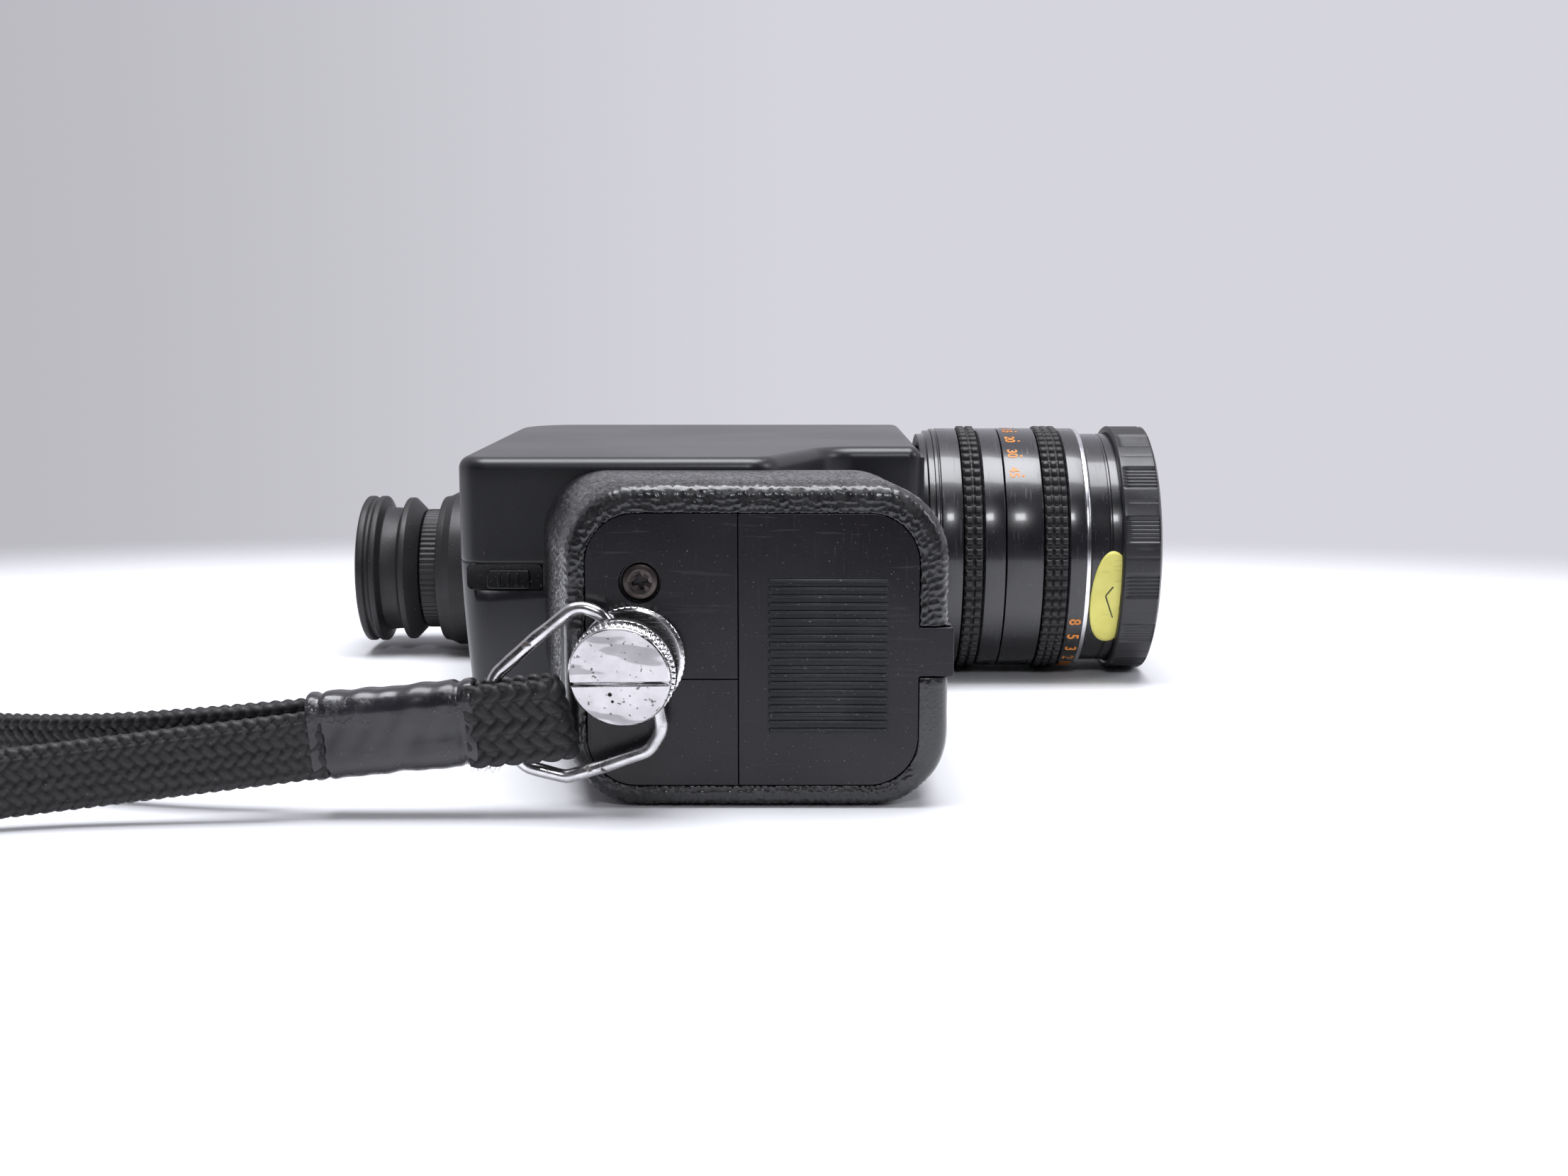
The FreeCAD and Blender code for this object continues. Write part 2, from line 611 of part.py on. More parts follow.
# ---------------------------------------------------------------- eyepiece
def eyepiece():
    """Rear finder: the hollow base, the tube, the dioptre ring, the cup and the glass."""
    tube, base, end_x = d.eye_tube_radius, d.eye_base_radius, -d.eye_base_end
    eye_node("eyepiece_tube", ring(tube_profile(-30.0, end_x + 3, tube - 1.8, tube)))
    eye_node("eyepiece_base", ring([(end_x, tube), (end_x + 2.2, tube), (end_x + 2.2, base - 2),
                                    (0, base - 2),
                                    (0, base), (end_x + 3, base), (end_x + 1.5, base - 1),
                                    (end_x, base - 1)]))
    fit, lip = tube + 0.05, d.diopter_radius - 1.3
    eye_node("diopter_ring", ring(tube_profile(-d.diopter_end, -d.diopter_start, fit, lip)))
    cup, end = d.eyecup_radius, -d.eyecup_end
    eye_node("eyecup", ring([(end, tube + 3), (end + 4, tube + 2), (end + 6, tube),
                             (-d.diopter_end - 0.3, tube),
                             (-d.diopter_end - 0.3, lip), (end + 12, cup - 0.4), (end + 10.6, cup - 0.4),
                             (end + 9.8, cup - 3), (end + 5.8, cup - 3), (end + 5, cup), (end + 3.6, cup),
                             (end + 3.2, cup - 0.8), (end + 2.4, cup - 0.8), (end + 2, cup), (end, cup)]))
    eye_node("eye_lens", ring([(-28.4, 0), (-25.8, 0), (-26.4, tube - 1.8), (-27.8, tube - 1.8)]))
    bore = rod(d.finder_radius - 0.7, 90, -d.body_rear, d.eye_y, d.finder_height, "x")
    pipe = rod(d.finder_radius, 72, -d.body_rear + d.wall, d.eye_y, d.finder_height, "x")
    node("finder_tube", cut(pipe, bore))


def finder_prism():
    """The rhomb of glass inside the eyepiece base that steps the light path sideways."""
    x0, x1 = -d.body_rear - 12.5, -d.body_rear - 1
    low, high = d.eye_z - 6, d.finder_height + 2.4
    return prism([(x0, low), (x1, high - 11.5), (x1, high), (x0, low + 11.5)], -d.eye_y - 4, 8.0, "XZ_Plane")


# ---------------------------------------------------------------- pistol grip
def grip_section(body, inset, offset, rear, front, low, high):
    """One rectangle of the grip's loft, square to the grip's length."""
    return outline(body, "XZ_Plane", [(-rear + inset, low + inset), (front - inset, low + inset),
                                      (front - inset, high - inset), (-rear + inset, high - inset)], offset)


def grip_solid(inset):
    """The tapered grip, rounded along its four long edges, inset on every side."""
    inset = as_size(inset)
    body = doc.addObject("PartDesign::Body", "grip")
    neck = grip_section(body, inset, d.plinth_top, d.grip_rear_neck, d.grip_front_neck,
                        d.grip_low_neck, d.grip_high_neck)
    end = grip_section(body, inset, d.grip_end, d.grip_rear_end, d.grip_front_end,
                       as_size(0), d.grip_high_end)
    loft = body.newObject("PartDesign::AdditiveLoft", "loft")
    loft.Profile, loft.Sections, loft.Ruled = neck, [end], True
    doc.recompute()
    long_edge = (d.grip_end - d.plinth_top).value * 0.9
    return rounded(body, d.grip_corner_end - inset, lambda e: e.BoundBox.YLength > long_edge)


def tab_notch():
    """Room in the grip's front for the battery cover's finger tab."""
    low, high = d.tab_low - d.gap, d.tab_high + d.gap
    return [block(d.cover_front - 0.2, 32, -d.grip_end - 1, -d.grip_end + d.base_thick + d.gap, low, high),
            block(d.grip_front_end - 1.3, 32, -d.grip_end - 1, -d.grip_end + d.tab_reach + d.gap, low, high)]


def trigger_slot():
    """The slot in the grip's front that the trigger slides in."""
    return block(12, 32, -73, -61.5, 21.5, 32.5)


def grip_skin():
    """The sleeve of grained leatherette round the grip."""
    sleeve = cut(grip_solid(0), grip_solid(d.skin_thick))
    collar = block(-60, 40, -d.plinth_top - d.plinth_thick, -d.plinth_top + 1, -5, 60)
    return cut(sleeve, collar, trigger_slot(), *tab_notch())


def grip_plinth():
    """The smooth collar between the grip and the housing."""
    collar = block(-60, 40, -d.plinth_top - d.plinth_thick, -d.plinth_top, -5, 60)
    return cut(common(grip_solid(0), collar), block(-20, -4, -70, -59, 10, 44), trigger_slot())


def grip_half(low, high):
    """One moulded half of the grip's core with the battery bay and bush seat cut away."""
    slab = block(-60, 40, -d.grip_end, -d.plinth_top - d.plinth_thick, low, high)
    bay = block(-d.seam_x, d.bay_front, -d.grip_end - 1, -d.bay_end, d.bay_low, d.bay_high)
    mouth = block(-d.seam_x, d.cover_front + d.gap, -d.grip_end - 1, -d.grip_end + d.base_thick + 1.2,
                  d.cover_low - d.gap, d.cover_high + d.gap)
    rear_face = block(-60, -d.seam_x + 0.01, -d.grip_end - 1, -d.grip_end + d.base_thick, -5, 60)
    bush = rod(5.6, 11, -d.screw_x, -d.grip_end + d.base_thick - 0.1, d.screw_z, "y")
    wires = block(-20, -12, -d.grip_end + 12, -d.plinth_top, 16, 40)
    screw_way = rod(1.3, 12, -d.phillips_x, -d.grip_end, d.phillips_z, "y")
    return cut(common(grip_solid(d.skin_thick), slab), bay, mouth, rear_face, bush, wires, screw_way,
               trigger_slot(), *tab_notch())


def grip_base():
    """The fixed rear part of the grip's end face."""
    slab = block(-60, -d.seam_x, -d.grip_end, -d.grip_end + d.base_thick, -5, 60)
    countersink = doc.addObject("Part::Cone", "countersink")
    bind(countersink, Radius1=d.phillips_radius + 0.1, Radius2=1.3, Height=1.9)
    place(countersink, -d.phillips_x, -d.grip_end, d.phillips_z, ALONG["y"])
    return cut(common(grip_solid(d.skin_thick), slab), countersink,
               rod(1.3, 6, -d.phillips_x, -d.grip_end - 1, d.phillips_z, "y"),
               rod(d.stud_radius + 0.3, 6, -d.screw_x, -d.grip_end - 1, d.screw_z, "y"))


def base_screw():
    """A cross-recess countersunk screw."""
    head = doc.addObject("Part::Cone", "head")
    bind(head, Radius1=d.phillips_radius, Radius2=1.25, Height=1.9)
    place(head, -d.phillips_x, -d.grip_end + 0.05, d.phillips_z, ALONG["y"])
    shank = rod(1.25, 10, -d.phillips_x, -d.grip_end + 1.9, d.phillips_z, "y")
    arms = [block(-d.phillips_x - a, -d.phillips_x + a, -d.grip_end - 1, -d.grip_end + 1.2,
                  d.phillips_z - b, d.phillips_z + b) for a, b in ((1.9, 0.35), (0.35, 1.9))]
    return cut(fuse(head, shank), *arms)


def tripod_bush():
    bush = rod(5.5, 10, -d.screw_x, -d.grip_end + d.base_thick, d.screw_z, "y")
    return cut(bush, rod(d.stud_radius, 12, -d.screw_x, -d.grip_end, d.screw_z, "y"))


def battery_cover():
    """A flat cover hinged along its rear edge, with a ribbed thumb pad and a finger tab."""
    axis_x, axis_y = hinge_line()
    plate = prism([(axis_x, d.cover_low), (d.cover_front, d.cover_low), (d.cover_front, d.cover_high),
                   (axis_x, d.cover_high)], d.grip_end - d.base_thick, d.base_thick, "XZ_Plane")
    front, low, high = d.cover_front.value, d.cover_low.value, d.cover_high.value
    rounded(plate, d.cover_round, lambda e: e.BoundBox.XLength < 1e-6 and e.BoundBox.ZLength < 1e-6
            and abs(e.BoundBox.Center.x - front) < 0.01)
    knuckle = rod(d.knuckle_radius, d.cover_high - d.cover_low, axis_x, axis_y, d.cover_low)
    tab = [block(d.cover_front - 0.5, d.grip_front_end + 0.7, -d.grip_end, -d.grip_end + d.base_thick - 0.3,
                 d.tab_low, d.tab_high),
           block(d.grip_front_end - 0.8, d.grip_front_end + 0.7, -d.grip_end,
                 -d.grip_end + d.tab_reach, d.tab_low, d.tab_high)]
    ribs = []
    count = int((d.pad_high.value - d.pad_low.value) / d.rib_pitch.value) + 1
    for index in range(count):
        low_edge = d.pad_low + d.rib_pitch * index
        ribs.append(block(-d.pad_rear, d.pad_front, -d.grip_end - 0.5, -d.grip_end + 0.2,
                          low_edge, low_edge + 0.75))
    return cut(fuse(plate, knuckle, *tab, *ribs), rod(0.8, 60, axis_x, axis_y, 0))


def hinge_line():
    """The battery cover's hinge axis in the side plane."""
    return -d.seam_x + d.gap + d.knuckle_radius, -d.grip_end + d.knuckle_radius


def cover_hinge_pin():
    axis_x, axis_y = hinge_line()
    return rod(0.75, d.cover_high - d.cover_low + 1.4, axis_x, axis_y, d.cover_low - 0.7)


def cover_contact():
    return block(-3, 20, -d.grip_end + d.base_thick, -d.grip_end + d.base_thick + 0.4, 8, 47)


def cells():
    """Six dry cells in two columns of three, standing along the grip."""
    start = -d.grip_end + d.base_thick + 1.0
    middle = (d.bay_low + d.bay_high) / 2
    stack = []
    for column in range(2):
        for row_index in range(3):
            x = -d.seam_x + 0.5 + d.cell_radius + d.cell_pitch * column
            z = middle + d.cell_pitch * (row_index - 1)
            can = rod(d.cell_radius, d.cell_length - 1.2, x, start, z, "y")
            nib = rod(2.7, 1.2, x, start + d.cell_length - 1.2, z, "y")
            stack.append(fuse(can, nib))
    return group(*stack)


def trigger():
    pad = prism([(20.0, -72.5), (29.0, -72.5), (30.6, -68.5), (31.0, -62.0), (20.0, -62.0)], 22.0, 10.0)
    rounded(pad, 1.2, lambda e: e.BoundBox.Center.x > 28.5 and e.BoundBox.ZLength < 1e-6)
    return cut(pad, rod(2.1, 8.5, 19.5, -67, 27, "x"))


def trigger_spring():
    """The return spring's envelope, seated in the grip and running into the trigger's bore."""
    return rod(1.8, 12.4, 12.1, -67, 27, "x")


# ---------------------------------------------------------------- strap and its fastening
def strap_screw():
    """A knurled thumb screw: stud, rear flange, waist and slotted head."""
    y = -d.grip_end
    stud = rod(d.stud_radius - 0.05, d.stud_length, -d.screw_x, y, d.screw_z, "y")
    flange = rod(d.flange_radius, d.flange_thick - 0.2, -d.screw_x, y - d.flange_thick, d.screw_z, "y")
    washer = rod(d.flange_radius - 2, 0.3, -d.screw_x, y - 0.3, d.screw_z, "y")
    waist = rod(d.neck_radius, d.neck_thick + 0.2, -d.screw_x, y - d.flange_thick - d.neck_thick - 0.1,
                d.screw_z, "y")
    head = rod(d.head_radius, d.head_thick, -d.screw_x, y - d.flange_thick - d.neck_thick - d.head_thick,
               d.screw_z, "y")
    slot = block(-d.screw_x - 12, -d.screw_x + 12, y - d.flange_thick - d.neck_thick - d.head_thick - 1,
                 y - d.flange_thick - d.neck_thick - d.head_thick + 1.2,
                 d.screw_z - d.slot_wide / 2, d.screw_z + d.slot_wide / 2)
    return cut(fuse(stud, washer, flange, waist, head), slot)


def rounded_path(points, share=0.45):
    """Straight runs joined by tangent arcs, each as large as its two runs allow."""
    points = [Vector(*point) for point in points]
    edges, radii, start = [], [], points[0]
    for before, corner, after in zip(points, points[1:], points[2:]):
        back, ahead = before - corner, after - corner
        reach = share * min(back.Length, ahead.Length)
        back.normalize()
        ahead.normalize()
        half_turn = (math.pi - back.getAngle(ahead)) / 2
        radii.append(reach / math.tan(half_turn))
        entry, leave = corner + back * reach, corner + ahead * reach
        inward = (back + ahead).normalize()
        middle = corner + inward * (radii[-1] / math.cos(half_turn) - radii[-1])
        edges += [Part.LineSegment(start, entry).toShape(), Part.Arc(entry, middle, leave).toShape()]
        start = leave
    edges.append(Part.LineSegment(start, points[-1]).toShape())
    return Part.Wire(edges), radii


def bail_points():
    """The bent wire, from one side of the screw's waist round the strap to the other side."""
    y = -(d.grip_end + d.flange_thick + d.neck_thick / 2).value
    return [(x, y, z) for x, z in ((-28.1, 31.3), (-30.2, 35.6), (-34.6, 36.4), (-42.4, 30.8), (-48.0, 24.4),
                                   (-46.6, 16.6), (-41.4, 9.4), (-36.2, 7.4), (-27.8, 10.2), (-21.2, 13.2),
                                   (-20.0, 17.4), (-23.1, 21.5))]


def strap_bail():
    path, radii = rounded_path(bail_points())
    first, second = path.Edges[0].Vertexes[0].Point, path.Edges[0].Vertexes[1].Point
    circle = Part.Wire(Part.makeCircle(d.bail_wire.value, first, second - first))
    bail = doc.addObject("Part::Feature", "strap_bail")
    bail.Shape = path.makePipe(Part.Face(circle))
    return bail


STRAP_ROUTE = [
    (-76.5, -135.0, 13.0), (-101.0, -136.6, 10.2), (-130.0, -140.6, 7.4), (-160.0, -153.5, 6.5),
    (-188.9, -169.5, 6.4), (-216.1, -167.9, 6.3), (-236.9, -150.1, 6.4), (-242.8, -123.5, 6.3),
    (-231.4, -98.7, 6.4), (-207.5, -85.7, 6.4), (-180.5, -89.7, 6.3), (-152.0, -107.5, 6.6),
    (-126.5, -120.5, 8.6), (-101.0, -128.2, 11.4), (-76.5, -130.2, 14.2)]


def wrist_strap():
    """The braid's loop: it leaves the ferrule, turns round on the table and comes back."""
    path, radii = rounded_path(STRAP_ROUTE)
    start, ahead = Vector(*STRAP_ROUTE[0]), Vector(*STRAP_ROUTE[1]) - Vector(*STRAP_ROUTE[0])
    ahead.normalize()
    side = ahead.cross(Vector(0, 0, 1)).normalize() * (d.braid_thick.value / 2)
    tall = side.cross(ahead).normalize() * (d.braid_wide.value / 2)
    corners = [start + side + tall, start + side - tall, start - side - tall, start - side + tall]
    section = Part.Wire(Part.makePolygon(corners + corners[:1]).Edges)
    pipe = Part.BRepOffsetAPI.MakePipeShell(path)
    pipe.setBiNormalMode(Vector(0, 0, 1))
    pipe.add(section)
    pipe.build()
    pipe.makeSolid()
    strap = doc.addObject("Part::Feature", "wrist_strap")
    strap.Shape = Part.Solid(pipe.shape()) if pipe.shape().ShapeType != "Solid" else pipe.shape()
    print("strap radii", [round(r, 1) for r in radii], "length", round(path.Length, 1),
          "volume", round(strap.Shape.Volume), "section x length",
          round(d.braid_wide.value * d.braid_thick.value * path.Length))
    return strap


def tilted_block(x0, x1, z0, z1, thick, tall):
    """A flat bar in the strap's plane between two centre points."""
    y = -(d.grip_end + d.flange_thick + d.neck_thick / 2)
    length = math.hypot(x1 - x0, z1 - z0)
    bar = doc.addObject("Part::Box", "bar")
    bind(bar, Length=length, Width=thick, Height=tall)
    turn = Rotation(Vector(0, 1, 0), -math.degrees(math.atan2(z1 - z0, x1 - x0)))
    lift = turn.multVec(Vector(0, 0, tall / 2))
    return place(bar, x0 - lift.x, y - thick / 2, z0 - lift.z, turn)


def strap_ferrule():
    return tilted_block(-79.0, -51.2, 13.6, 16.2, 8.4, 15.0)


def strap_fold():
    """The braid doubled back round the bail's bar."""
    outer = tilted_block(-51.2, -37.6, 16.2, 17.4, 8.4, 12.8)
    slot = tilted_block(-52.5, -39.6, 16.1, 17.3, 2.9, 20.0)
    return cut(outer, slot)


# ---------------------------------------------------------------- assembly
def build():
    node("body_shell_right", body_shell_right())
    node("body_shell_left", body_shell_left())
    node("chassis", chassis())
    node("film_gate", film_gate())
    node("film_claw", film_claw())
    node("circuit_board", circuit_board())
    node("film_door", film_door())
    node("door_hinge_pin", door_hinge_pin())
    node("door_latch", door_latch())
    node("accessory_shoe", accessory_shoe())
    node("speed_dial", speed_dial())
    node("zoom_rocker", zoom_rocker())
    node("front_plate", front_plate())
    transport()
    shutter()
    lens()
    node("inspection_sticker", inspection_sticker())
    eyepiece()
    node("finder_prism", finder_prism())
    node("grip_skin", grip_skin())
    node("grip_plinth", grip_plinth())
    node("grip_shell_right", grip_half(d.grip_split, 60))
    node("grip_shell_left", grip_half(-5, d.grip_split))
    node("grip_base", grip_base())
    node("base_screw", base_screw())
    node("tripod_bush", tripod_bush())
    node("battery_cover", battery_cover())
    node("cover_hinge_pin", cover_hinge_pin())
    node("cover_contact", cover_contact())
    node("dry_cells", cells())
    node("trigger", trigger())
    node("trigger_spring", trigger_spring())
    node("strap_screw", strap_screw())
    node("strap_bail", strap_bail())
    node("strap_ferrule", strap_ferrule())
    node("strap_fold", strap_fold())
    node("wrist_strap", wrist_strap())


def check_and_write():
    """Refuses failed objects and bad shapes, then writes one STEP file per node."""
    doc.recompute()
    failed = [item.Name for item in doc.Objects if {"Invalid", "Error"} & set(item.State)]
    bad = [item.Label for item in NODES if item.Shape.isNull() or not item.Shape.isValid()
           or not item.Shape.Solids]
    if failed or bad:
        raise RuntimeError(f"failed objects {failed}, bad shapes {bad}")
    os.makedirs("parts", exist_ok=True)
    whole = Part.makeCompound([item.Shape for item in NODES])
    print("nodes", len(NODES), "box", whole.BoundBox)
    for item in NODES:
        item.Shape.exportStep(os.path.join("parts", f"{item.Label}.step"))


build()
check_and_write()
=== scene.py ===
"""Looks of a cine camera that lies on its left side: housing, zoom lens, eyepiece, grip and strap.

Shapes are worked out in millimetres in the design's own axes (X forward along the lens, Y up the
camera, Z from its left side to its right side) and put into the row frame, in metres, at the end.
"""

import math

import bmesh
import bpy
import numpy as np
from bpy.props import FloatProperty, FloatVectorProperty, IntProperty, PointerProperty
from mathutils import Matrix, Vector


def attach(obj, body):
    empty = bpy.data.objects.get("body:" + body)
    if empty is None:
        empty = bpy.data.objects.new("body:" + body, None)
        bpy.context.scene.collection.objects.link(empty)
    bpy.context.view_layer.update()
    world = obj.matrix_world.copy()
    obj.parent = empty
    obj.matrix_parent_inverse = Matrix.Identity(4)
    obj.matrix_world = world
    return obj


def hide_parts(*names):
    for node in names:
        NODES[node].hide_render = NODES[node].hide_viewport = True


bl_info = {
    "name": "Cine camera with wrist strap",
    "version": (1, 0, 0),
    "blender": (4, 5, 0),
    "location": "View3D > Sidebar > Cine camera",
    "description": "Builds the visible pieces of a cine camera round its packed frame",
    "category": "Add Mesh",
}

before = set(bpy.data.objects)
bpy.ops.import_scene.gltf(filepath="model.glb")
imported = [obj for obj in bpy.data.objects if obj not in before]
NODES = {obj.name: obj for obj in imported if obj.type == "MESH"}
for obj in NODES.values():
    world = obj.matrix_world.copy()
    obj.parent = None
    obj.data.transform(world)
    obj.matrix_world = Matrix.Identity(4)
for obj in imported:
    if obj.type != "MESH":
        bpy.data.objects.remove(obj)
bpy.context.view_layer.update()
SHIFT = np.array([9.65, 44.7, 0.0])
LENS_AXIS = (30.0, 0.0, 28.5)
EYE_AXIS = (-67.0, 24.0, 20.0)
DIAL_AXIS = (-48.0, 0.0, 43.0)
CROSS_SCREW = (-24.3, 0.0, 39.1)
STRAP_SCREW = (-25.6, 0.0, 26.4)
TURN = 2 * math.pi


# ---------------------------------------------------------------- settings
class CineFinishSettings(bpy.types.PropertyGroup):
    """Colours of the finishes."""

    housing: FloatVectorProperty(
        name="Housing", description="Satin paint of the housing", subtype="COLOR",
        default=(0.0085, 0.0086, 0.0110), min=0, max=1)
    plastic: FloatVectorProperty(
        name="Grip end", description="Smooth plastic of the grip's end and battery cover",
        subtype="COLOR", default=(0.0085, 0.0070, 0.0092), min=0, max=1)
    leather: FloatVectorProperty(
        name="Leatherette", description="Pebbled covering of the grip", subtype="COLOR",
        default=(0.0085, 0.0085, 0.0100), min=0, max=1)
    lens: FloatVectorProperty(
        name="Lens rings", description="Anodised lens barrel", subtype="COLOR",
        default=(0.0085, 0.0085, 0.0105), min=0, max=1)
    numeral: FloatVectorProperty(
        name="Numerals", description="Orange paint of the engraved numbers", subtype="COLOR",
        default=(0.78, 0.27, 0.045), min=0, max=1)
    label: FloatVectorProperty(
        name="Label", description="Pale yellow paper label", subtype="COLOR",
        default=(0.82, 0.77, 0.20), min=0, max=1)
    braid: FloatVectorProperty(
        name="Braid", description="Plaited cord of the wrist strap", subtype="COLOR",
        default=(0.0075, 0.0070, 0.0080), min=0, max=1)


class CineDetailSettings(bpy.types.PropertyGroup):
    """Sizes and counts of the fine detail."""

    grain_size: FloatProperty(
        name="Grain size", description="Width of one pebble of the leatherette, mm",
        default=1.22, min=0.5, max=3.0)
    grain_depth: FloatProperty(
        name="Grain depth", description="Depth of the creases between pebbles, mm",
        default=0.44, min=0.0, max=0.6)
    braid_relief: FloatProperty(
        name="Braid relief", description="Height of a yarn above the gaps, mm",
        default=0.62, min=0.0, max=1.0)
    grip_bumps: IntProperty(
        name="Ring bumps", description="Bumps round the zoom and focus rings",
        default=73, min=24, max=120)
    cap_patches: IntProperty(
        name="Cap patches", description="Ribbed patches round the lens cap",
        default=14, min=6, max=24)
    screw_teeth: IntProperty(
        name="Screw teeth", description="Diamonds round the strap screw's rim",
        default=54, min=24, max=90)


class CineStageSettings(bpy.types.PropertyGroup):
    """Camera, floor and lights."""

    focal: FloatProperty(
        name="Focal length", description="Camera lens on a 36 mm sensor, mm",
        default=43.13, min=10, max=300)
    tilt: FloatProperty(
        name="Tilt", description="How far the camera looks down, degrees",
        default=8.7, min=0, max=89)
    floor: FloatVectorProperty(
        name="Floor", description="Pale table", subtype="COLOR",
        default=(0.86, 0.865, 0.89), min=0, max=1)
    backdrop: FloatVectorProperty(
        name="Backdrop", description="Grey-lavender surroundings", subtype="COLOR",
        default=(0.67, 0.665, 0.72), min=0, max=1)
    key: FloatProperty(
        name="Key light", description="Power of the overhead light, watts",
        default=14.0, min=0, max=200)


def finishes():
    return bpy.context.scene.cine_finishes


def details():
    return bpy.context.scene.cine_details


# ---------------------------------------------------------------- shapes worked out as arrays
def offset_corners(corners, inset):
    """Corners of a counter-clockwise outline moved inwards: each goes to where its two sides,
    both moved inwards by the inset, cross."""
    corners = np.asarray(corners, float)
    side = np.roll(corners, -1, 0) - corners
    side /= np.linalg.norm(side, axis=1, keepdims=True)
    inward = np.stack([-side[:, 1], side[:, 0]], -1)
    before = np.roll(inward, 1, 0)
    share = 1 + (inward * before).sum(1, keepdims=True)
    return corners + (inward + before) * inset / share


def soften(corners, radius, steps=6, closed=True):
    """Corners turned into arcs: each arc touches both its sides, and its points are an even turn
    apart about the centre that lies on the corner's bisector."""
    corners = np.asarray(corners, float)
    radius = np.broadcast_to(np.asarray(radius, float), len(corners))[:, None]
    inner = corners if closed else corners[1:-1]
    ring = np.roll(corners, 1, 0), np.roll(corners, -1, 0)
    before, after = (ring if closed else (corners[:-2], corners[2:]))
    radius = radius if closed else radius[1:-1]
    back, on = before - inner, after - inner
    far_back = np.linalg.norm(back, axis=1, keepdims=True)
    far_on = np.linalg.norm(on, axis=1, keepdims=True)
    back, on = back / far_back, on / far_on
    half = 0.5 * np.arccos(np.clip((back * on).sum(1, keepdims=True), -0.99999, 0.99999))
    reach = np.minimum(radius / np.tan(half), 0.49 * np.minimum(far_back, far_on))
    radius = reach * np.tan(half)
    bisector = back + on
    bisector /= np.linalg.norm(bisector, axis=1, keepdims=True)
    centre = inner + bisector * radius / np.sin(half)
    start, end = inner + back * reach - centre, inner + on * reach - centre
    turn = (math.pi - 2 * half)[:, None]
    share = np.linspace(0, 1, steps + 1)[None, :, None]
    arcs = (np.sin((1 - share) * turn) * start[:, None] + np.sin(share * turn) * end[:, None])
    arcs = centre[:, None] + arcs / np.sin(turn)
    arcs = arcs.reshape(-1, corners.shape[1])
    return arcs if closed else np.concatenate([corners[:1], arcs, corners[-1:]])


def box_corners(x0, x1, z0, z1):
    """The four corners of an upright rectangle, counter-clockwise."""
    return np.array([(x0, z0), (x1, z0), (x1, z1), (x0, z1)], float)


def filled_outline(corners, radius, arc, sides):
    """A rounded rectangle with even points on its sides as well: each arc is followed by a run of
    points on the straight side after it."""
    arcs = soften(corners, radius, arc).reshape(4, arc + 1, 2)
    following = np.roll(arcs, -1, 0)
    runs = []
    for corner, count in enumerate(sides):
        share = np.linspace(0, 1, count + 1)[1:-1, None]
        straight = arcs[corner, -1] * (1 - share) + following[corner, 0] * share
        runs += [arcs[corner], straight]
    return np.concatenate(runs)


def even_points(points, count, closed=False):
    """The same line with its points an even distance apart."""
    points = np.asarray(points, float)
    line = np.concatenate([points, points[:1]]) if closed else points
    step = np.linalg.norm(np.diff(line, axis=0), axis=1)
    far = np.concatenate([[0], np.cumsum(step)])
    at = np.linspace(0, far[-1], count + 1)[:-1] if closed else np.linspace(0, far[-1], count)
    return np.stack([np.interp(at, far, line[:, k]) for k in range(line.shape[1])], -1)


def saw(value):
    """A triangle wave from 0 to 1 and back over each unit."""
    return 1 - np.abs(2 * (value - np.floor(value)) - 1)


def ramp(value, low, high):
    """0 below low, 1 above high and an even, smooth rise between them."""
    share = np.clip((value - low) / (high - low), 0, 1)
    return share * share * (3 - 2 * share)


def pebbles(around, along, cells, size, seed):
    """Relief of grained leather: every cell of a loose grid holds one jittered middle, and the
    height is how much nearer the closest middle is than the next one, so creases are zero."""
    rows = int(np.max(along) / size) + 4
    jitter = np.random.default_rng(seed).uniform(-0.42, 0.42, (cells, rows, 2))
    u, v = around * cells, along / size + 1
    column, row = np.floor(u).astype(int), np.floor(v).astype(int)
    nearest, second = np.full(u.shape, 9.0), np.full(u.shape, 9.0)
    for side in (-1, 0, 1):
        for up in (-1, 0, 1):
            near_column, near_row = column + side, np.clip(row + up, 0, rows - 1)
            shift = jitter[near_column % cells, near_row]
            far = np.hypot(near_column + 0.5 + shift[..., 0] - u, row + up + 0.5 + shift[..., 1] - v)
            second = np.minimum(second, np.maximum(far, nearest))
            nearest = np.minimum(nearest, far)
    return np.clip((second - nearest) * 1.9, 0, 1) ** 0.6


def plait(around, along, columns):
    """Relief of a two-over, two-under braid: two families of yarns cross at a slant, each shows in
    its own columns, and a yarn's height is a half round across it and a hump along it."""
    across = around * columns * 2
    first, second = (along + across) / 2, (along - across) / 2
    i, j = np.floor(first), np.floor(second)
    phase = np.mod(i - j, 4)
    one = phase < 2
    side = np.where(one, first - i, second - j)
    start_one = i - 4 * np.floor((i - j) / 4) - 1
    start_two = j + 4 * np.floor((i - j) / 4) + 2
    run = np.where(one, (second - start_one) / 2, (first - start_two) / 2)
    half_round = np.sqrt(np.clip(1 - (2 * side - 1) ** 2, 0, 1))
    hump = np.sin(np.pi * np.clip(run, 0, 1)) ** 0.45
    return half_round * hump, side, run


def quads_of(rows, columns, rows_close=False, columns_close=False):
    """Corner numbers of a grid's four-sided faces, one row of four for each face."""
    index = np.arange(rows * columns).reshape(rows, columns)
    if columns_close:
        index = np.concatenate([index, index[:, :1]], 1)
    if rows_close:
        index = np.concatenate([index, index[:1]], 0)
    return np.stack([index[:-1, :-1], index[1:, :-1], index[1:, 1:], index[:-1, 1:]], -1).reshape(-1, 4)


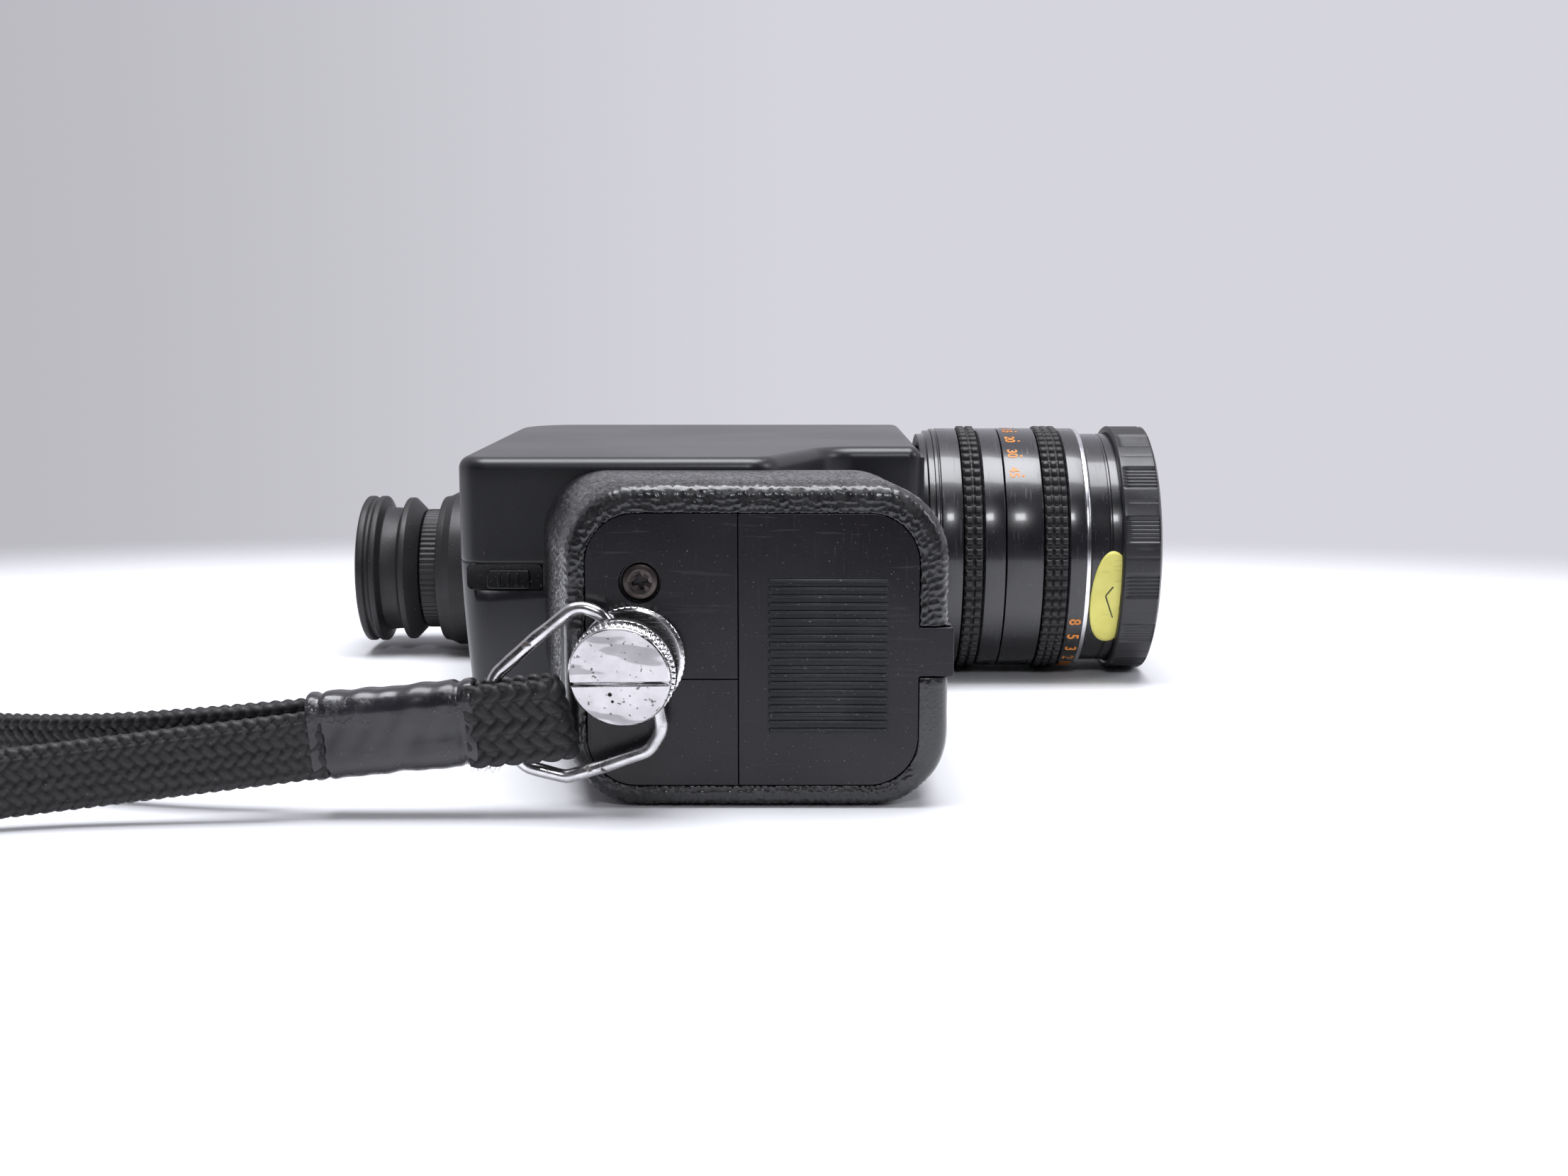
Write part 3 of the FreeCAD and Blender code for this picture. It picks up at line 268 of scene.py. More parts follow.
class Surface:
    """Grids of points gathered into one mesh. A grid's rows and columns may each close on
    themselves, and open first and last rows may be closed by a flat face."""

    def __init__(self):
        self.spots, self.faces, self.soft, self.coat, self.uvs, self.relief = [], [], [], [], [], []
        self.count = 0

    def grid(self, points, rows_close=False, ends=False, coat=0, soft=True, uv=None, relief=None,
             inside_out=False):
        points = np.asarray(points, float)
        rows, columns = points.shape[:2]
        quads = quads_of(rows, columns, rows_close, columns_close=True)
        flat = points.reshape(-1, 3)
        middle = flat.mean(0)
        a, b, c, e = (flat[quads[:, k]] - middle for k in range(4))
        volume = (np.cross(a, b) * c).sum() + (np.cross(a, c) * e).sum()
        lids = []
        if ends:
            first = np.arange(columns)
            lids = [first, (first + (rows - 1) * columns)[::-1]]
            for lid in lids:
                fan = flat[lid] - middle
                volume += (np.cross(fan[0], fan[1:-1]) * fan[2:]).sum()
        if uv is None:
            uv = np.zeros((rows, columns + 1, 2))
        if rows_close and uv.shape[0] == rows:
            uv = np.concatenate([uv, uv[:1]], 0)
        corner = np.stack([uv[:-1, :-1], uv[1:, :-1], uv[1:, 1:], uv[:-1, 1:]], -2).reshape(-1, 4, 2)
        if (volume < 0) != inside_out:
            quads, corner = quads[:, ::-1], corner[:, ::-1]
            lids = [lid[::-1] for lid in lids]
        self.spots.append(flat)
        self.relief.append(np.ones(len(flat)) if relief is None else np.asarray(relief).reshape(-1))
        self.faces += (quads + self.count).tolist() + [(lid + self.count).tolist() for lid in lids]
        self.soft += [soft] * len(quads) + [False] * len(lids)
        self.coat += [coat] * (len(quads) + len(lids))
        self.uvs.append(corner.reshape(-1, 2))
        self.uvs += [np.zeros((len(lid), 2)) for lid in lids]
        self.count += len(flat)
        return self

    def mesh(self, name):
        mesh = bpy.data.meshes.new(name)
        spots = (np.concatenate(self.spots) + SHIFT) * 0.001
        mesh.from_pydata(spots.astype(np.float32), [], self.faces)
        mesh.polygons.foreach_set("use_smooth", np.array(self.soft, bool))
        mesh.polygons.foreach_set("material_index", np.array(self.coat, np.int32))
        layer = mesh.uv_layers.new(name="UVMap")
        layer.uv.foreach_set("vector", np.concatenate(self.uvs).astype(np.float32).ravel())
        height = mesh.attributes.new("relief", "FLOAT", "POINT")
        height.data.foreach_set("value", np.concatenate(self.relief).astype(np.float32))
        work = bmesh.new()
        work.from_mesh(mesh)
        bmesh.ops.remove_doubles(work, verts=work.verts, dist=1e-7)
        work.to_mesh(mesh)
        work.free()
        mesh.update()
        return mesh


def sheet(name, spots, columns_close=False):
    """An open mesh, in metres, of one grid of points."""
    mesh = bpy.data.meshes.new(name)
    quads = quads_of(*spots.shape[:2], columns_close=columns_close)
    mesh.from_pydata(spots.reshape(-1, 3).astype(np.float32), [], quads.tolist())
    return mesh


def piece(name, surface, coats, body, nodes=(), cuts=()):
    """A finished piece at the origin that rides on its body and stands for its CAD nodes. Each cut
    is a closed surface that is taken away from it."""
    made = bpy.data.objects.new(name, surface.mesh(name))
    bpy.context.scene.collection.objects.link(made)
    for coat in coats:
        made.data.materials.append(coat)
    if cuts:
        made.data = carved(made, cuts)
    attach(made, body)
    if nodes:
        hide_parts(*nodes)
    return made


def carved(made, cuts):
    """The object's mesh with every cutter's space taken away."""
    tools = []
    for number, cutter in enumerate(cuts):
        tool = bpy.data.objects.new(f"cutter{number}", cutter.mesh(f"cutter{number}"))
        bpy.context.scene.collection.objects.link(tool)
        change = made.modifiers.new(f"cut{number}", "BOOLEAN")
        change.operation, change.solver, change.object = "DIFFERENCE", "EXACT", tool
        tools.append(tool)
    bpy.context.view_layer.update()
    shaped = made.evaluated_get(bpy.context.evaluated_depsgraph_get())
    mesh = bpy.data.meshes.new_from_object(shaped)
    made.modifiers.clear()
    for tool in tools:
        spent = tool.data
        bpy.data.objects.remove(tool)
        bpy.data.meshes.remove(spent)
    mesh.name = made.name
    return mesh


def turned(profile, axis, count=192, along="x", ripple=None, turn=0.0):
    """A closed outline of (distance along the axis, radius) carried round the axis. The ripple,
    a function of distance and angle, is added to the radius."""
    profile = np.asarray(profile, float)
    angle = np.arange(count) / count * TURN + turn
    far, radius = profile[:, :1] + 0 * angle, profile[:, 1:] + 0 * angle
    angle = angle + 0 * far
    if ripple is not None:
        radius = radius + ripple(far, angle, radius)
    side, up = radius * np.cos(angle), radius * np.sin(angle)
    if along == "x":
        return np.stack([axis[0] + far, axis[1] + side, axis[2] + up], -1)
    if along == "y":
        return np.stack([axis[0] + side, axis[1] + far, axis[2] + up], -1)
    return np.stack([axis[0] + side, axis[1] + up, axis[2] + far], -1)


def refined(profile, step):
    """More points on an open profile's long runs, the corners kept."""
    gaps = np.linalg.norm(np.diff(profile, axis=0), axis=1)
    runs = [start + (end - start) * np.linspace(0, 1, max(1, int(gap / step)) + 1)[:-1, None]
            for start, end, gap in zip(profile, profile[1:], gaps)]
    return np.concatenate(runs + [profile[-1:]])


def plate(corners, radii, front, back, edge, steps=8, along="y"):
    """A plate: the outline's rings stacked through its thickness, drawn in along a quarter round
    at both faces."""
    ways = np.linspace(0, math.pi / 2, 4)
    insets = np.concatenate([edge * (1 - np.sin(ways)), edge * (1 - np.cos(ways))])
    deep = np.sign(back - front)
    depth = np.concatenate([front + deep * edge * (1 - np.cos(ways)),
                            back - deep * edge * (1 - np.sin(ways))])
    rings = []
    for inset, at in zip(insets, depth):
        flat = soften(offset_corners(corners, inset), np.maximum(np.asarray(radii) - inset, 0.02), steps)
        layers = {"x": (0 * flat[:, 0] + at, flat[:, 0], flat[:, 1]),
                  "y": (flat[:, 0], 0 * flat[:, 0] + at, flat[:, 1]),
                  "z": (flat[:, 0], flat[:, 1], 0 * flat[:, 0] + at)}[along]
        rings.append(np.stack(layers, -1))
    return np.stack(rings)


def block(x0, x1, y0, y1, z0, z1):
    """A plain box, used only as a cutter."""
    flat = box_corners(x0, x1, z0, z1)
    rings = [np.stack([flat[:, 0], np.full(4, y), flat[:, 1]], -1) for y in (y0, y1)]
    return Surface().grid(np.stack(rings), ends=True, soft=False)


def tube(path, radius, sides=16, up=(0.0, 1.0, 0.0), caps=4):
    """A round wire: rings square to the path, with a fixed sideways axis, and domed ends made by
    rings that shrink as a quarter circle while they step outwards."""
    path = np.asarray(path, float)
    ahead = np.gradient(path, axis=0)
    ahead /= np.linalg.norm(ahead, axis=1, keepdims=True)
    radius = np.broadcast_to(radius, len(path)).astype(float)
    dome = np.linspace(math.pi / 2, 0, caps + 1)[:-1]
    out, wide = np.sin(dome)[:, None], np.cos(dome)
    head = path[0] - ahead[0] * out * radius[0]
    tail = (path[-1] + ahead[-1] * out * radius[-1])[::-1]
    path = np.concatenate([head, path, tail])
    ahead = np.concatenate([np.repeat(ahead[:1], caps, 0), ahead, np.repeat(ahead[-1:], caps, 0)])
    radius = np.concatenate([radius[0] * np.maximum(wide, 0), radius,
                             radius[-1] * np.maximum(wide, 0)[::-1]])
    side = np.cross(ahead, up)
    side /= np.linalg.norm(side, axis=1, keepdims=True)
    over = np.cross(side, ahead)
    angle = np.arange(sides) / sides * TURN
    ring = np.cos(angle)[None, :, None] * side[:, None] + np.sin(angle)[None, :, None] * over[:, None]
    return path[:, None] + ring * radius[:, None, None]


# ---------------------------------------------------------------- finishes worked out as nodes
class Finish:
    """A procedural material. Colour, roughness and height each start from a noise on Object
    coordinates and are layered with specks, scratches and wear."""

    def __init__(self, name, colour, rough=0.4, metal=0.0, **fixed):
        self.made = bpy.data.materials.new(name)
        self.made.use_nodes = True
        self.tree = self.made.node_tree
        self.tree.nodes.clear()
        self.shader = self.node("ShaderNodeBsdfPrincipled")
        output = self.node("ShaderNodeOutputMaterial")
        self.link(self.shader.outputs["BSDF"], output.inputs["Surface"])
        self.shader.inputs["Metallic"].default_value = metal
        for socket, value in fixed.items():
            self.shader.inputs[socket.replace("_", " ")].default_value = value
        self.place = self.node("ShaderNodeTexCoord").outputs["Object"]
        self.colour, self.rough, self.height = (*colour, 1.0), rough, None

    def node(self, kind):
        return self.tree.nodes.new(kind)

    def link(self, start, end):
        self.tree.links.new(start, end)

    def feed(self, socket, value):
        if isinstance(value, (int, float, tuple)):
            socket.default_value = value
        else:
            self.link(value, socket)

    def mapped(self, stretch=(1, 1, 1), turn=(0, 0, 0), space=None):
        if stretch == (1, 1, 1) and turn == (0, 0, 0):
            return space or self.place
        mapping = self.node("ShaderNodeMapping")
        mapping.inputs["Scale"].default_value = stretch
        mapping.inputs["Rotation"].default_value = turn
        self.link(space or self.place, mapping.inputs["Vector"])
        return mapping.outputs["Vector"]

    def noise(self, scale, detail=3.0, roughness=0.5, stretch=(1, 1, 1), turn=(0, 0, 0), space=None):
        noise = self.node("ShaderNodeTexNoise")
        noise.inputs["Scale"].default_value = scale
        noise.inputs["Detail"].default_value = detail
        noise.inputs["Roughness"].default_value = roughness
        self.link(self.mapped(stretch, turn, space), noise.inputs["Vector"])
        return noise.outputs["Fac"]

    def cells(self, scale, feature="F1", stretch=(1, 1, 1), space=None, output="Distance"):
        cells = self.node("ShaderNodeTexVoronoi")
        cells.feature = feature
        cells.inputs["Scale"].default_value = scale
        self.link(self.mapped(stretch, space=space), cells.inputs["Vector"])
        return cells.outputs[output]

    def attribute(self, name):
        node = self.node("ShaderNodeAttribute")
        node.attribute_name = name
        return node.outputs["Fac"]

    def spread(self, value, low, high, to_low=0.0, to_high=1.0):
        node = self.node("ShaderNodeMapRange")
        node.interpolation_type = "SMOOTHSTEP"
        self.link(value, node.inputs["Value"])
        for socket, number in (("From Min", low), ("From Max", high),
                               ("To Min", to_low), ("To Max", to_high)):
            node.inputs[socket].default_value = number
        return node.outputs["Result"]

    def near(self, spot, reach):
        """1 within reach (mm) of a line that runs straight back through (X, Z), 0 outside it."""
        flat = self.node("ShaderNodeMapping")
        flat.inputs["Location"].default_value = (-(spot[0] + SHIFT[0]), 0, -(spot[1] + SHIFT[2]))
        flat.inputs["Scale"].default_value = (1000, 0, 1000)
        self.link(self.place, flat.inputs["Vector"])
        length = self.node("ShaderNodeVectorMath")
        length.operation = "LENGTH"
        self.link(flat.outputs["Vector"], length.inputs[0])
        return self.spread(length.outputs["Value"], reach, reach * 0.7)

    def sum(self, kind, first, second):
        node = self.node("ShaderNodeMath")
        node.operation = kind
        self.feed(node.inputs[0], first)
        self.feed(node.inputs[1], second)
        return node.outputs[0]

    def blend(self, share, first, second):
        node = self.node("ShaderNodeMix")
        node.data_type = "RGBA"
        self.feed(node.inputs["Factor"], share)
        for socket, value in ((node.inputs[6], first), (node.inputs[7], second)):
            self.feed(socket, value)
        return node.outputs[2]

    def tint(self, share, colour):
        """Blends the colour so far towards another one by a share that varies."""
        self.colour = self.blend(share, self.colour, (*colour, 1.0))
        return self

    def vary(self, scale, colour, amount=1.0, low=0.35, high=0.7, **how):
        """A cloudy second colour."""
        return self.tint(self.spread(self.noise(scale, **how), low, high, 0.0, amount), colour)

    def rougher(self, share, amount):
        """Adds a varying share to the roughness."""
        self.rough = self.sum("ADD", self.sum("MULTIPLY", share, amount), self.rough)
        return self

    def cloudy_rough(self, scale, low, high, **how):
        self.rough = self.spread(self.noise(scale, **how), 0.3, 0.7, low, high)
        return self

    def raise_by(self, value, strength, distance):
        """Adds a layer of height, in metres of distance, to the bump."""
        bump = self.node("ShaderNodeBump")
        bump.inputs["Strength"].default_value = strength
        bump.inputs["Distance"].default_value = distance
        self.link(value, bump.inputs["Height"])
        if self.height is not None:
            self.link(self.height, bump.inputs["Normal"])
        self.height = bump.outputs["Normal"]
        return self

    def dust(self, scale=2600.0, amount=0.5, colour=(0.30, 0.30, 0.32), cut=0.735):
        """Small pale specks that are also duller."""
        share = self.spread(self.noise(scale, detail=1.0), cut, cut + 0.05, 0.0, amount)
        self.tint(share, colour)
        return self.rougher(share, 0.5)

    def scratches(self, scale, stretch, amount, colour=None, cut=0.64, turn=(0, 0, 0)):
        """Fine lines: a noise drawn out along one axis, of which only the peaks count."""
        share = self.spread(self.noise(scale, detail=2.0, stretch=stretch, turn=turn), cut, cut + 0.05,
                            0.0, amount)
        if colour is not None:
            self.tint(share, colour)
        return self.rougher(share, 0.35)

    def done(self):
        self.feed(self.shader.inputs["Base Color"], self.colour)
        self.feed(self.shader.inputs["Roughness"], self.rough)
        if self.height is not None:
            self.link(self.height, self.shader.inputs["Normal"])
        return self.made


COATS = {}


def coat(name):
    return COATS[name]


def mix_coats():
    """Every finish of the camera, by the name of what it covers."""
    tone = finishes()

    housing = Finish("housing_paint", tuple(tone.housing), IOR=1.5, Coat_Weight=0.12, Coat_Roughness=0.30)
    housing.vary(38.0, (0.014, 0.014, 0.017), 0.8).cloudy_rough(25.0, 0.33, 0.38)
    housing.scratches(300.0, (1, 12, 12), 0.18, turn=(0.2, 0.1, 0.5))
    housing.raise_by(housing.noise(4200.0, detail=2.0), 0.10, 0.00012).dust(2080.0, 0.25, cut=0.75)
    COATS["housing"] = housing.done()

    inside = Finish("moulded_inside", (0.012, 0.012, 0.013), 0.6)
    inside.vary(90.0, (0.02, 0.02, 0.022)).raise_by(inside.noise(2600.0), 0.25, 0.0001)
    COATS["inside"] = inside.cloudy_rough(80.0, 0.5, 0.7).done()

    smooth = Finish("grip_end_plastic", tuple(tone.plastic), IOR=1.5, Specular_IOR_Level=0.36)
    smooth.vary(30.0, (0.0125, 0.0105, 0.0145), 0.9).cloudy_rough(42.0, 0.22, 0.34, detail=5.0)
    smooth.scratches(90.0, (1, 1, 16), 0.5, (0.035, 0.032, 0.038), turn=(0, 0.5, 0))
    smooth.scratches(120.0, (18, 1, 1), 0.4, (0.03, 0.03, 0.035), turn=(0, 0.25, 0))
    smooth.raise_by(smooth.noise(95.0, detail=1.0), 0.12, 0.0004)
    smooth.raise_by(smooth.noise(3600.0, detail=2.0), 0.10, 0.00008).dust(2800.0, 0.55)
    COATS["smooth"] = smooth.done()

    latch = Finish("latch_plastic", (0.0045, 0.0045, 0.0055), IOR=1.5, Coat_Weight=0.3, Coat_Roughness=0.1)
    latch.vary(60.0, (0.008, 0.008, 0.0095), 0.8).cloudy_rough(60.0, 0.16, 0.26)
    COATS["latch"] = latch.raise_by(latch.noise(2900.0), 0.08, 0.00006).dust(2900.0, 0.4).done()

    ribs = Finish("rib_rubber", (0.007, 0.008, 0.0095), 0.42, IOR=1.5, Specular_IOR_Level=0.4)
    ribs.vary(60.0, (0.018, 0.020, 0.022), 0.8).cloudy_rough(110.0, 0.34, 0.5)
    ribs.raise_by(ribs.noise(2300.0), 0.22, 0.0001).dust(3120.0, 0.8, cut=0.715)
    COATS["ribs"] = ribs.done()

    leather = Finish("leatherette_grain", tuple(tone.leather), IOR=1.5, Coat_Weight=0.50,
                     Coat_Roughness=0.14)
    grain = leather.attribute("relief")
    leather.vary(120.0, (0.016, 0.016, 0.018), 0.9)
    leather.rough = leather.spread(grain, 0.0, 1.0, 0.55, 0.24)
    leather.tint(leather.spread(grain, 0.25, 0.0, 0.0, 0.55), (0.018, 0.018, 0.020))
    fine = leather.cells(1500.0, "SMOOTH_F1")
    leather.raise_by(fine, 0.45, 0.00012).raise_by(leather.noise(2600.0, detail=4.0), 0.35, 0.00010)
    leather.rougher(leather.spread(leather.noise(260.0, detail=3.0), 0.4, 0.7), 0.14)
    COATS["leather"] = leather.dust(2560.0, 0.35, cut=0.745).done()

    lens = Finish("lens_black", tuple(tone.lens), IOR=1.55, Coat_Weight=0.45, Coat_Roughness=0.10)
    lens.vary(60.0, (0.014, 0.013, 0.018), 0.8).cloudy_rough(70.0, 0.24, 0.34)
    lens.raise_by(lens.noise(2200.0, stretch=(1, 0.02, 0.02)), 0.05, 0.00006)
    lens.scratches(160.0, (14, 1, 1), 0.35, (0.05, 0.05, 0.055)).dust(2240.0, 0.25)
    COATS["lens"] = lens.done()

    cap = Finish("cap_plastic", (0.0135, 0.0135, 0.0155), IOR=1.5)
    cap.vary(70.0, (0.020, 0.020, 0.023)).cloudy_rough(60.0, 0.30, 0.44)
    cap.raise_by(cap.noise(2900.0), 0.14, 0.0001)
    cap.scratches(130.0, (1, 10, 10), 0.4, (0.04, 0.04, 0.045)).dust(2560.0, 0.4)
    COATS["cap"] = cap.done()

    rubber = Finish("eyecup_rubber", (0.0115, 0.0112, 0.0120), IOR=1.48)
    rubber.vary(80.0, (0.019, 0.018, 0.020), 0.9).cloudy_rough(75.0, 0.40, 0.58)
    rubber.raise_by(rubber.noise(1900.0, detail=4.0), 0.25, 0.0001).dust(2240.0, 0.5)
    COATS["rubber"] = rubber.done()

    chrome = Finish("bright_plate", (0.78, 0.77, 0.78), 0.16, metal=1.0)
    chrome.vary(420.0, (0.60, 0.59, 0.60), 0.8, detail=5.0)
    chrome.cloudy_rough(180.0, 0.10, 0.24, detail=4.0)
    pits = chrome.spread(chrome.noise(1150.0, detail=2.0), 0.66, 0.70, 0.0, 0.85)
    rust = chrome.spread(chrome.noise(160.0, detail=3.0), 0.60, 0.70, 0.0, 1.0)
    chrome.tint(chrome.sum("MULTIPLY", pits, 0.8), (0.16, 0.13, 0.12))
    chrome.tint(chrome.sum("MULTIPLY", pits, rust), (0.17, 0.07, 0.03)).rougher(pits, 0.4)
    chrome.raise_by(pits, -0.5, 0.00006)
    chrome.scratches(300.0, (1, 1, 22), 0.55, (0.5, 0.49, 0.5), cut=0.6)
    COATS["chrome"] = chrome.done()

    face = Finish("brushed_face", (0.60, 0.585, 0.60), 0.34, metal=1.0)
    face.vary(240.0, (0.47, 0.455, 0.475), 0.8, detail=6.0).cloudy_rough(150.0, 0.28, 0.46, detail=5.0)
    specks = face.spread(face.noise(1300.0, detail=1.0), 0.68, 0.72, 0.0, 0.9)
    face.tint(specks, (0.20, 0.17, 0.17)).rougher(specks, 0.3)
    face.scratches(420.0, (0.05, 1, 1), 0.6, (0.40, 0.385, 0.40), cut=0.58)
    face.raise_by(face.noise(900.0, detail=3.0, stretch=(0.1, 1, 1)), 0.10, 0.00005)
    for spot, reach in (((-28.7, 21.8), 0.42), ((-28.3, 20.6), 0.30)):
        pit = face.near(spot, reach)
        face.tint(pit, (0.035, 0.03, 0.03)).rougher(pit, 0.4).raise_by(pit, -0.6, 0.0001)
    COATS["face"] = face.done()

    wire = Finish("bail_wire", (0.70, 0.69, 0.70), 0.2, metal=1.0)
    wire.vary(300.0, (0.48, 0.47, 0.48), 0.8, detail=4.0).cloudy_rough(220.0, 0.14, 0.34, detail=4.0)
    rust = wire.spread(wire.noise(330.0, detail=3.0), 0.62, 0.68, 0.0, 0.9)
    wire.tint(rust, (0.10, 0.075, 0.065)).rougher(rust, 0.5).raise_by(rust, -0.4, 0.0001)
    COATS["wire"] = wire.scratches(260.0, (1, 1, 16), 0.5, (0.35, 0.34, 0.35)).done()

    # black_oxide_and_gap_shade: the dark finish of the interior cell and finder tube; on the strap screw's
    # waist and the head's rear ring it is also painted shade, standing in for the shadowed gap between head
    # and flange
    dark = Finish("black_oxide_and_gap_shade", (0.016, 0.016, 0.018), 0.35, metal=0.4)
    dark.vary(200.0, (0.035, 0.032, 0.03)).raise_by(dark.noise(1800.0), 0.2, 0.0001)
    COATS["dark"] = dark.cloudy_rough(150.0, 0.3, 0.5).done()

    phillips = Finish("browned_screw", (0.075, 0.062, 0.058), 0.36, metal=0.8)
    phillips.vary(260.0, (0.13, 0.11, 0.105), 0.8, detail=4.0).cloudy_rough(200.0, 0.3, 0.5)
    COATS["phillips"] = phillips.raise_by(phillips.noise(1700.0), 0.3, 0.0001).dust(2400.0, 0.5).done()

    braid = Finish("plaited_cord", tuple(tone.braid), 0.5, Sheen_Weight=0.06, Sheen_Roughness=0.4)
    uv = braid.node("ShaderNodeTexCoord").outputs["UV"]
    yarn = braid.attribute("relief")
    fibre = braid.noise(1.0, detail=3.0, stretch=(16, 1.2, 1), space=uv)
    # painted shade: where the yarn relief is low, in the gaps between the yarns, the colour is darkened
    # nearly to black
    braid.tint(braid.spread(yarn, 0.60, 0.12, 0.0, 0.95), (0.0008, 0.0008, 0.0008))
    braid.tint(braid.spread(fibre, 0.52, 0.75, 0.0, 0.5), (0.022, 0.021, 0.023))
    braid.rough = braid.spread(fibre, 0.3, 0.7, 0.34, 0.58)
    braid.raise_by(fibre, 0.55, 0.00018).raise_by(braid.noise(5200.0, detail=3.0), 0.3, 0.00008)
    COATS["braid"] = braid.dust(2400.0, 0.6, (0.22, 0.21, 0.22), cut=0.74).done()

    sleeve = Finish("crimped_sleeve", (0.0125, 0.0120, 0.0145), IOR=1.5, Coat_Weight=0.3,
                    Coat_Roughness=0.15)
    sleeve.vary(90.0, (0.024, 0.023, 0.028), 0.9).cloudy_rough(120.0, 0.20, 0.42, detail=5.0)
    worn = sleeve.sum("MULTIPLY", sleeve.spread(sleeve.noise(700.0, detail=5.0), 0.45, 0.62),
                      sleeve.spread(sleeve.noise(70.0, stretch=(0.35, 1, 1.6)), 0.48, 0.60))
    sleeve.raise_by(worn, 0.6, 0.00022).rougher(worn, 0.25).tint(worn, (0.030, 0.029, 0.033))
    sleeve.raise_by(sleeve.noise(240.0, detail=3.0), 0.3, 0.0003).dust(2560.0, 0.4)
    COATS["sleeve"] = sleeve.done()

    paper = Finish("label_paper", tuple(tone.label), 0.5, IOR=1.45)
    paper.vary(260.0, (0.74, 0.68, 0.16), 0.7, detail=5.0).cloudy_rough(200.0, 0.38, 0.6)
    paper.raise_by(paper.noise(1400.0, detail=5.0), 0.15, 0.00006)
    COATS["paper"] = paper.scratches(200.0, (1, 1, 8), 0.3, (0.55, 0.50, 0.14)).done()

    ink = Finish("label_ink", (0.03, 0.035, 0.02), 0.6)
    COATS["ink"] = ink.vary(900.0, (0.20, 0.19, 0.07), 0.6).cloudy_rough(300.0, 0.5, 0.7).done()

    orange = Finish("orange_paint", tuple(tone.numeral), 0.5)
    orange.vary(500.0, (0.55, 0.18, 0.03), 0.7).cloudy_rough(400.0, 0.4, 0.6)
    COATS["orange"] = orange.raise_by(orange.noise(2400.0), 0.3, 0.00005).done()

    white = Finish("white_paint", (0.62, 0.62, 0.60), 0.5)
    white.vary(500.0, (0.40, 0.40, 0.38), 0.7).cloudy_rough(400.0, 0.4, 0.6)
    COATS["white"] = white.raise_by(white.noise(2400.0), 0.3, 0.00005).done()

    trim = Finish("silver_ring", (0.80, 0.80, 0.83), 0.2, metal=1.0)
    trim.vary(300.0, (0.62, 0.62, 0.66)).cloudy_rough(160.0, 0.14, 0.28)
    COATS["trim"] = trim.raise_by(trim.noise(3000.0, stretch=(1, 0.02, 0.02)), 0.15, 0.00005).done()

    steel = Finish("plain_steel", (0.42, 0.42, 0.43), 0.3, metal=1.0)
    steel.vary(220.0, (0.30, 0.29, 0.29)).cloudy_rough(160.0, 0.22, 0.42, detail=4.0)
    COATS["steel"] = steel.scratches(240.0, (1, 1, 14), 0.5, (0.25, 0.25, 0.25)).done()

    brass = Finish("old_brass", (0.55, 0.40, 0.16), 0.3, metal=1.0)
    brass.vary(150.0, (0.36, 0.24, 0.10)).cloudy_rough(140.0, 0.24, 0.45)
    COATS["brass"] = brass.raise_by(brass.noise(1500.0), 0.15, 0.00006).done()

    alloy = Finish("cast_alloy", (0.30, 0.30, 0.31), 0.5, metal=0.85)
    alloy.vary(120.0, (0.22, 0.22, 0.225)).cloudy_rough(130.0, 0.42, 0.6)
    COATS["alloy"] = alloy.raise_by(alloy.noise(1400.0, detail=5.0), 0.4, 0.0001).done()

    gear = Finish("gear_plastic", (0.62, 0.60, 0.54), 0.42, IOR=1.5)
    gear.vary(140.0, (0.50, 0.48, 0.42)).cloudy_rough(120.0, 0.35, 0.5)
    COATS["gear"] = gear.raise_by(gear.noise(1900.0), 0.2, 0.00006).done()

    board = Finish("board_green", (0.02, 0.13, 0.05), 0.4, IOR=1.5)
    tracks = board.spread(board.cells(420.0, "DISTANCE_TO_EDGE"), 0.05, 0.08)
    board.vary(100.0, (0.015, 0.09, 0.035)).tint(board.sum("SUBTRACT", 1.0, tracks), (0.03, 0.22, 0.08))
    COATS["board"] = board.cloudy_rough(90.0, 0.3, 0.5).raise_by(tracks, 0.2, 0.00005).done()

    can = Finish("cell_wrap", (0.16, 0.12, 0.05), 0.3, metal=0.5)
    band = can.spread(can.noise(60.0, stretch=(0, 1, 0)), 0.5, 0.52)
    can.tint(band, (0.012, 0.012, 0.014)).cloudy_rough(150.0, 0.22, 0.4)
    COATS["can"] = can.raise_by(can.noise(1600.0), 0.1, 0.00005).done()

    glass = Finish("coated_glass", (0.02, 0.02, 0.035), 0.04, IOR=1.6, Specular_IOR_Level=0.9,
                   Coat_Weight=1.0, Coat_Roughness=0.03, Coat_Tint=(0.55, 0.45, 0.95, 1.0))
    glass.vary(25.0, (0.035, 0.02, 0.06)).dust(2800.0, 0.15)
    COATS["glass"] = glass.done()


# CAD nodes whose shape is right and only need their finish
PAINTED = {
    "housing": ("grip_plinth", "film_door", "front_plate"),
    "inside": ("grip_shell_right", "grip_shell_left", "lens_core", "film_gate"),
    "smooth": ("trigger", "zoom_rocker"),
    "alloy": ("film_claw", "drive_motor"),
    "steel": ("accessory_shoe", "door_hinge_pin", "drive_shaft", "cover_hinge_pin", "trigger_spring",
              "cover_contact", "shutter_disc"),
    "brass": ("tripod_bush", "motor_pinion"),
    "dark": ("variator_cell", "finder_tube"),
    "glass": ("front_element", "variator_lens", "relay_lens", "eye_lens", "finder_prism"),
    "gear": ("drive_gear", "take_up_spindle"),
    "board": ("circuit_board",),
    "can": ("dry_cells",),
}


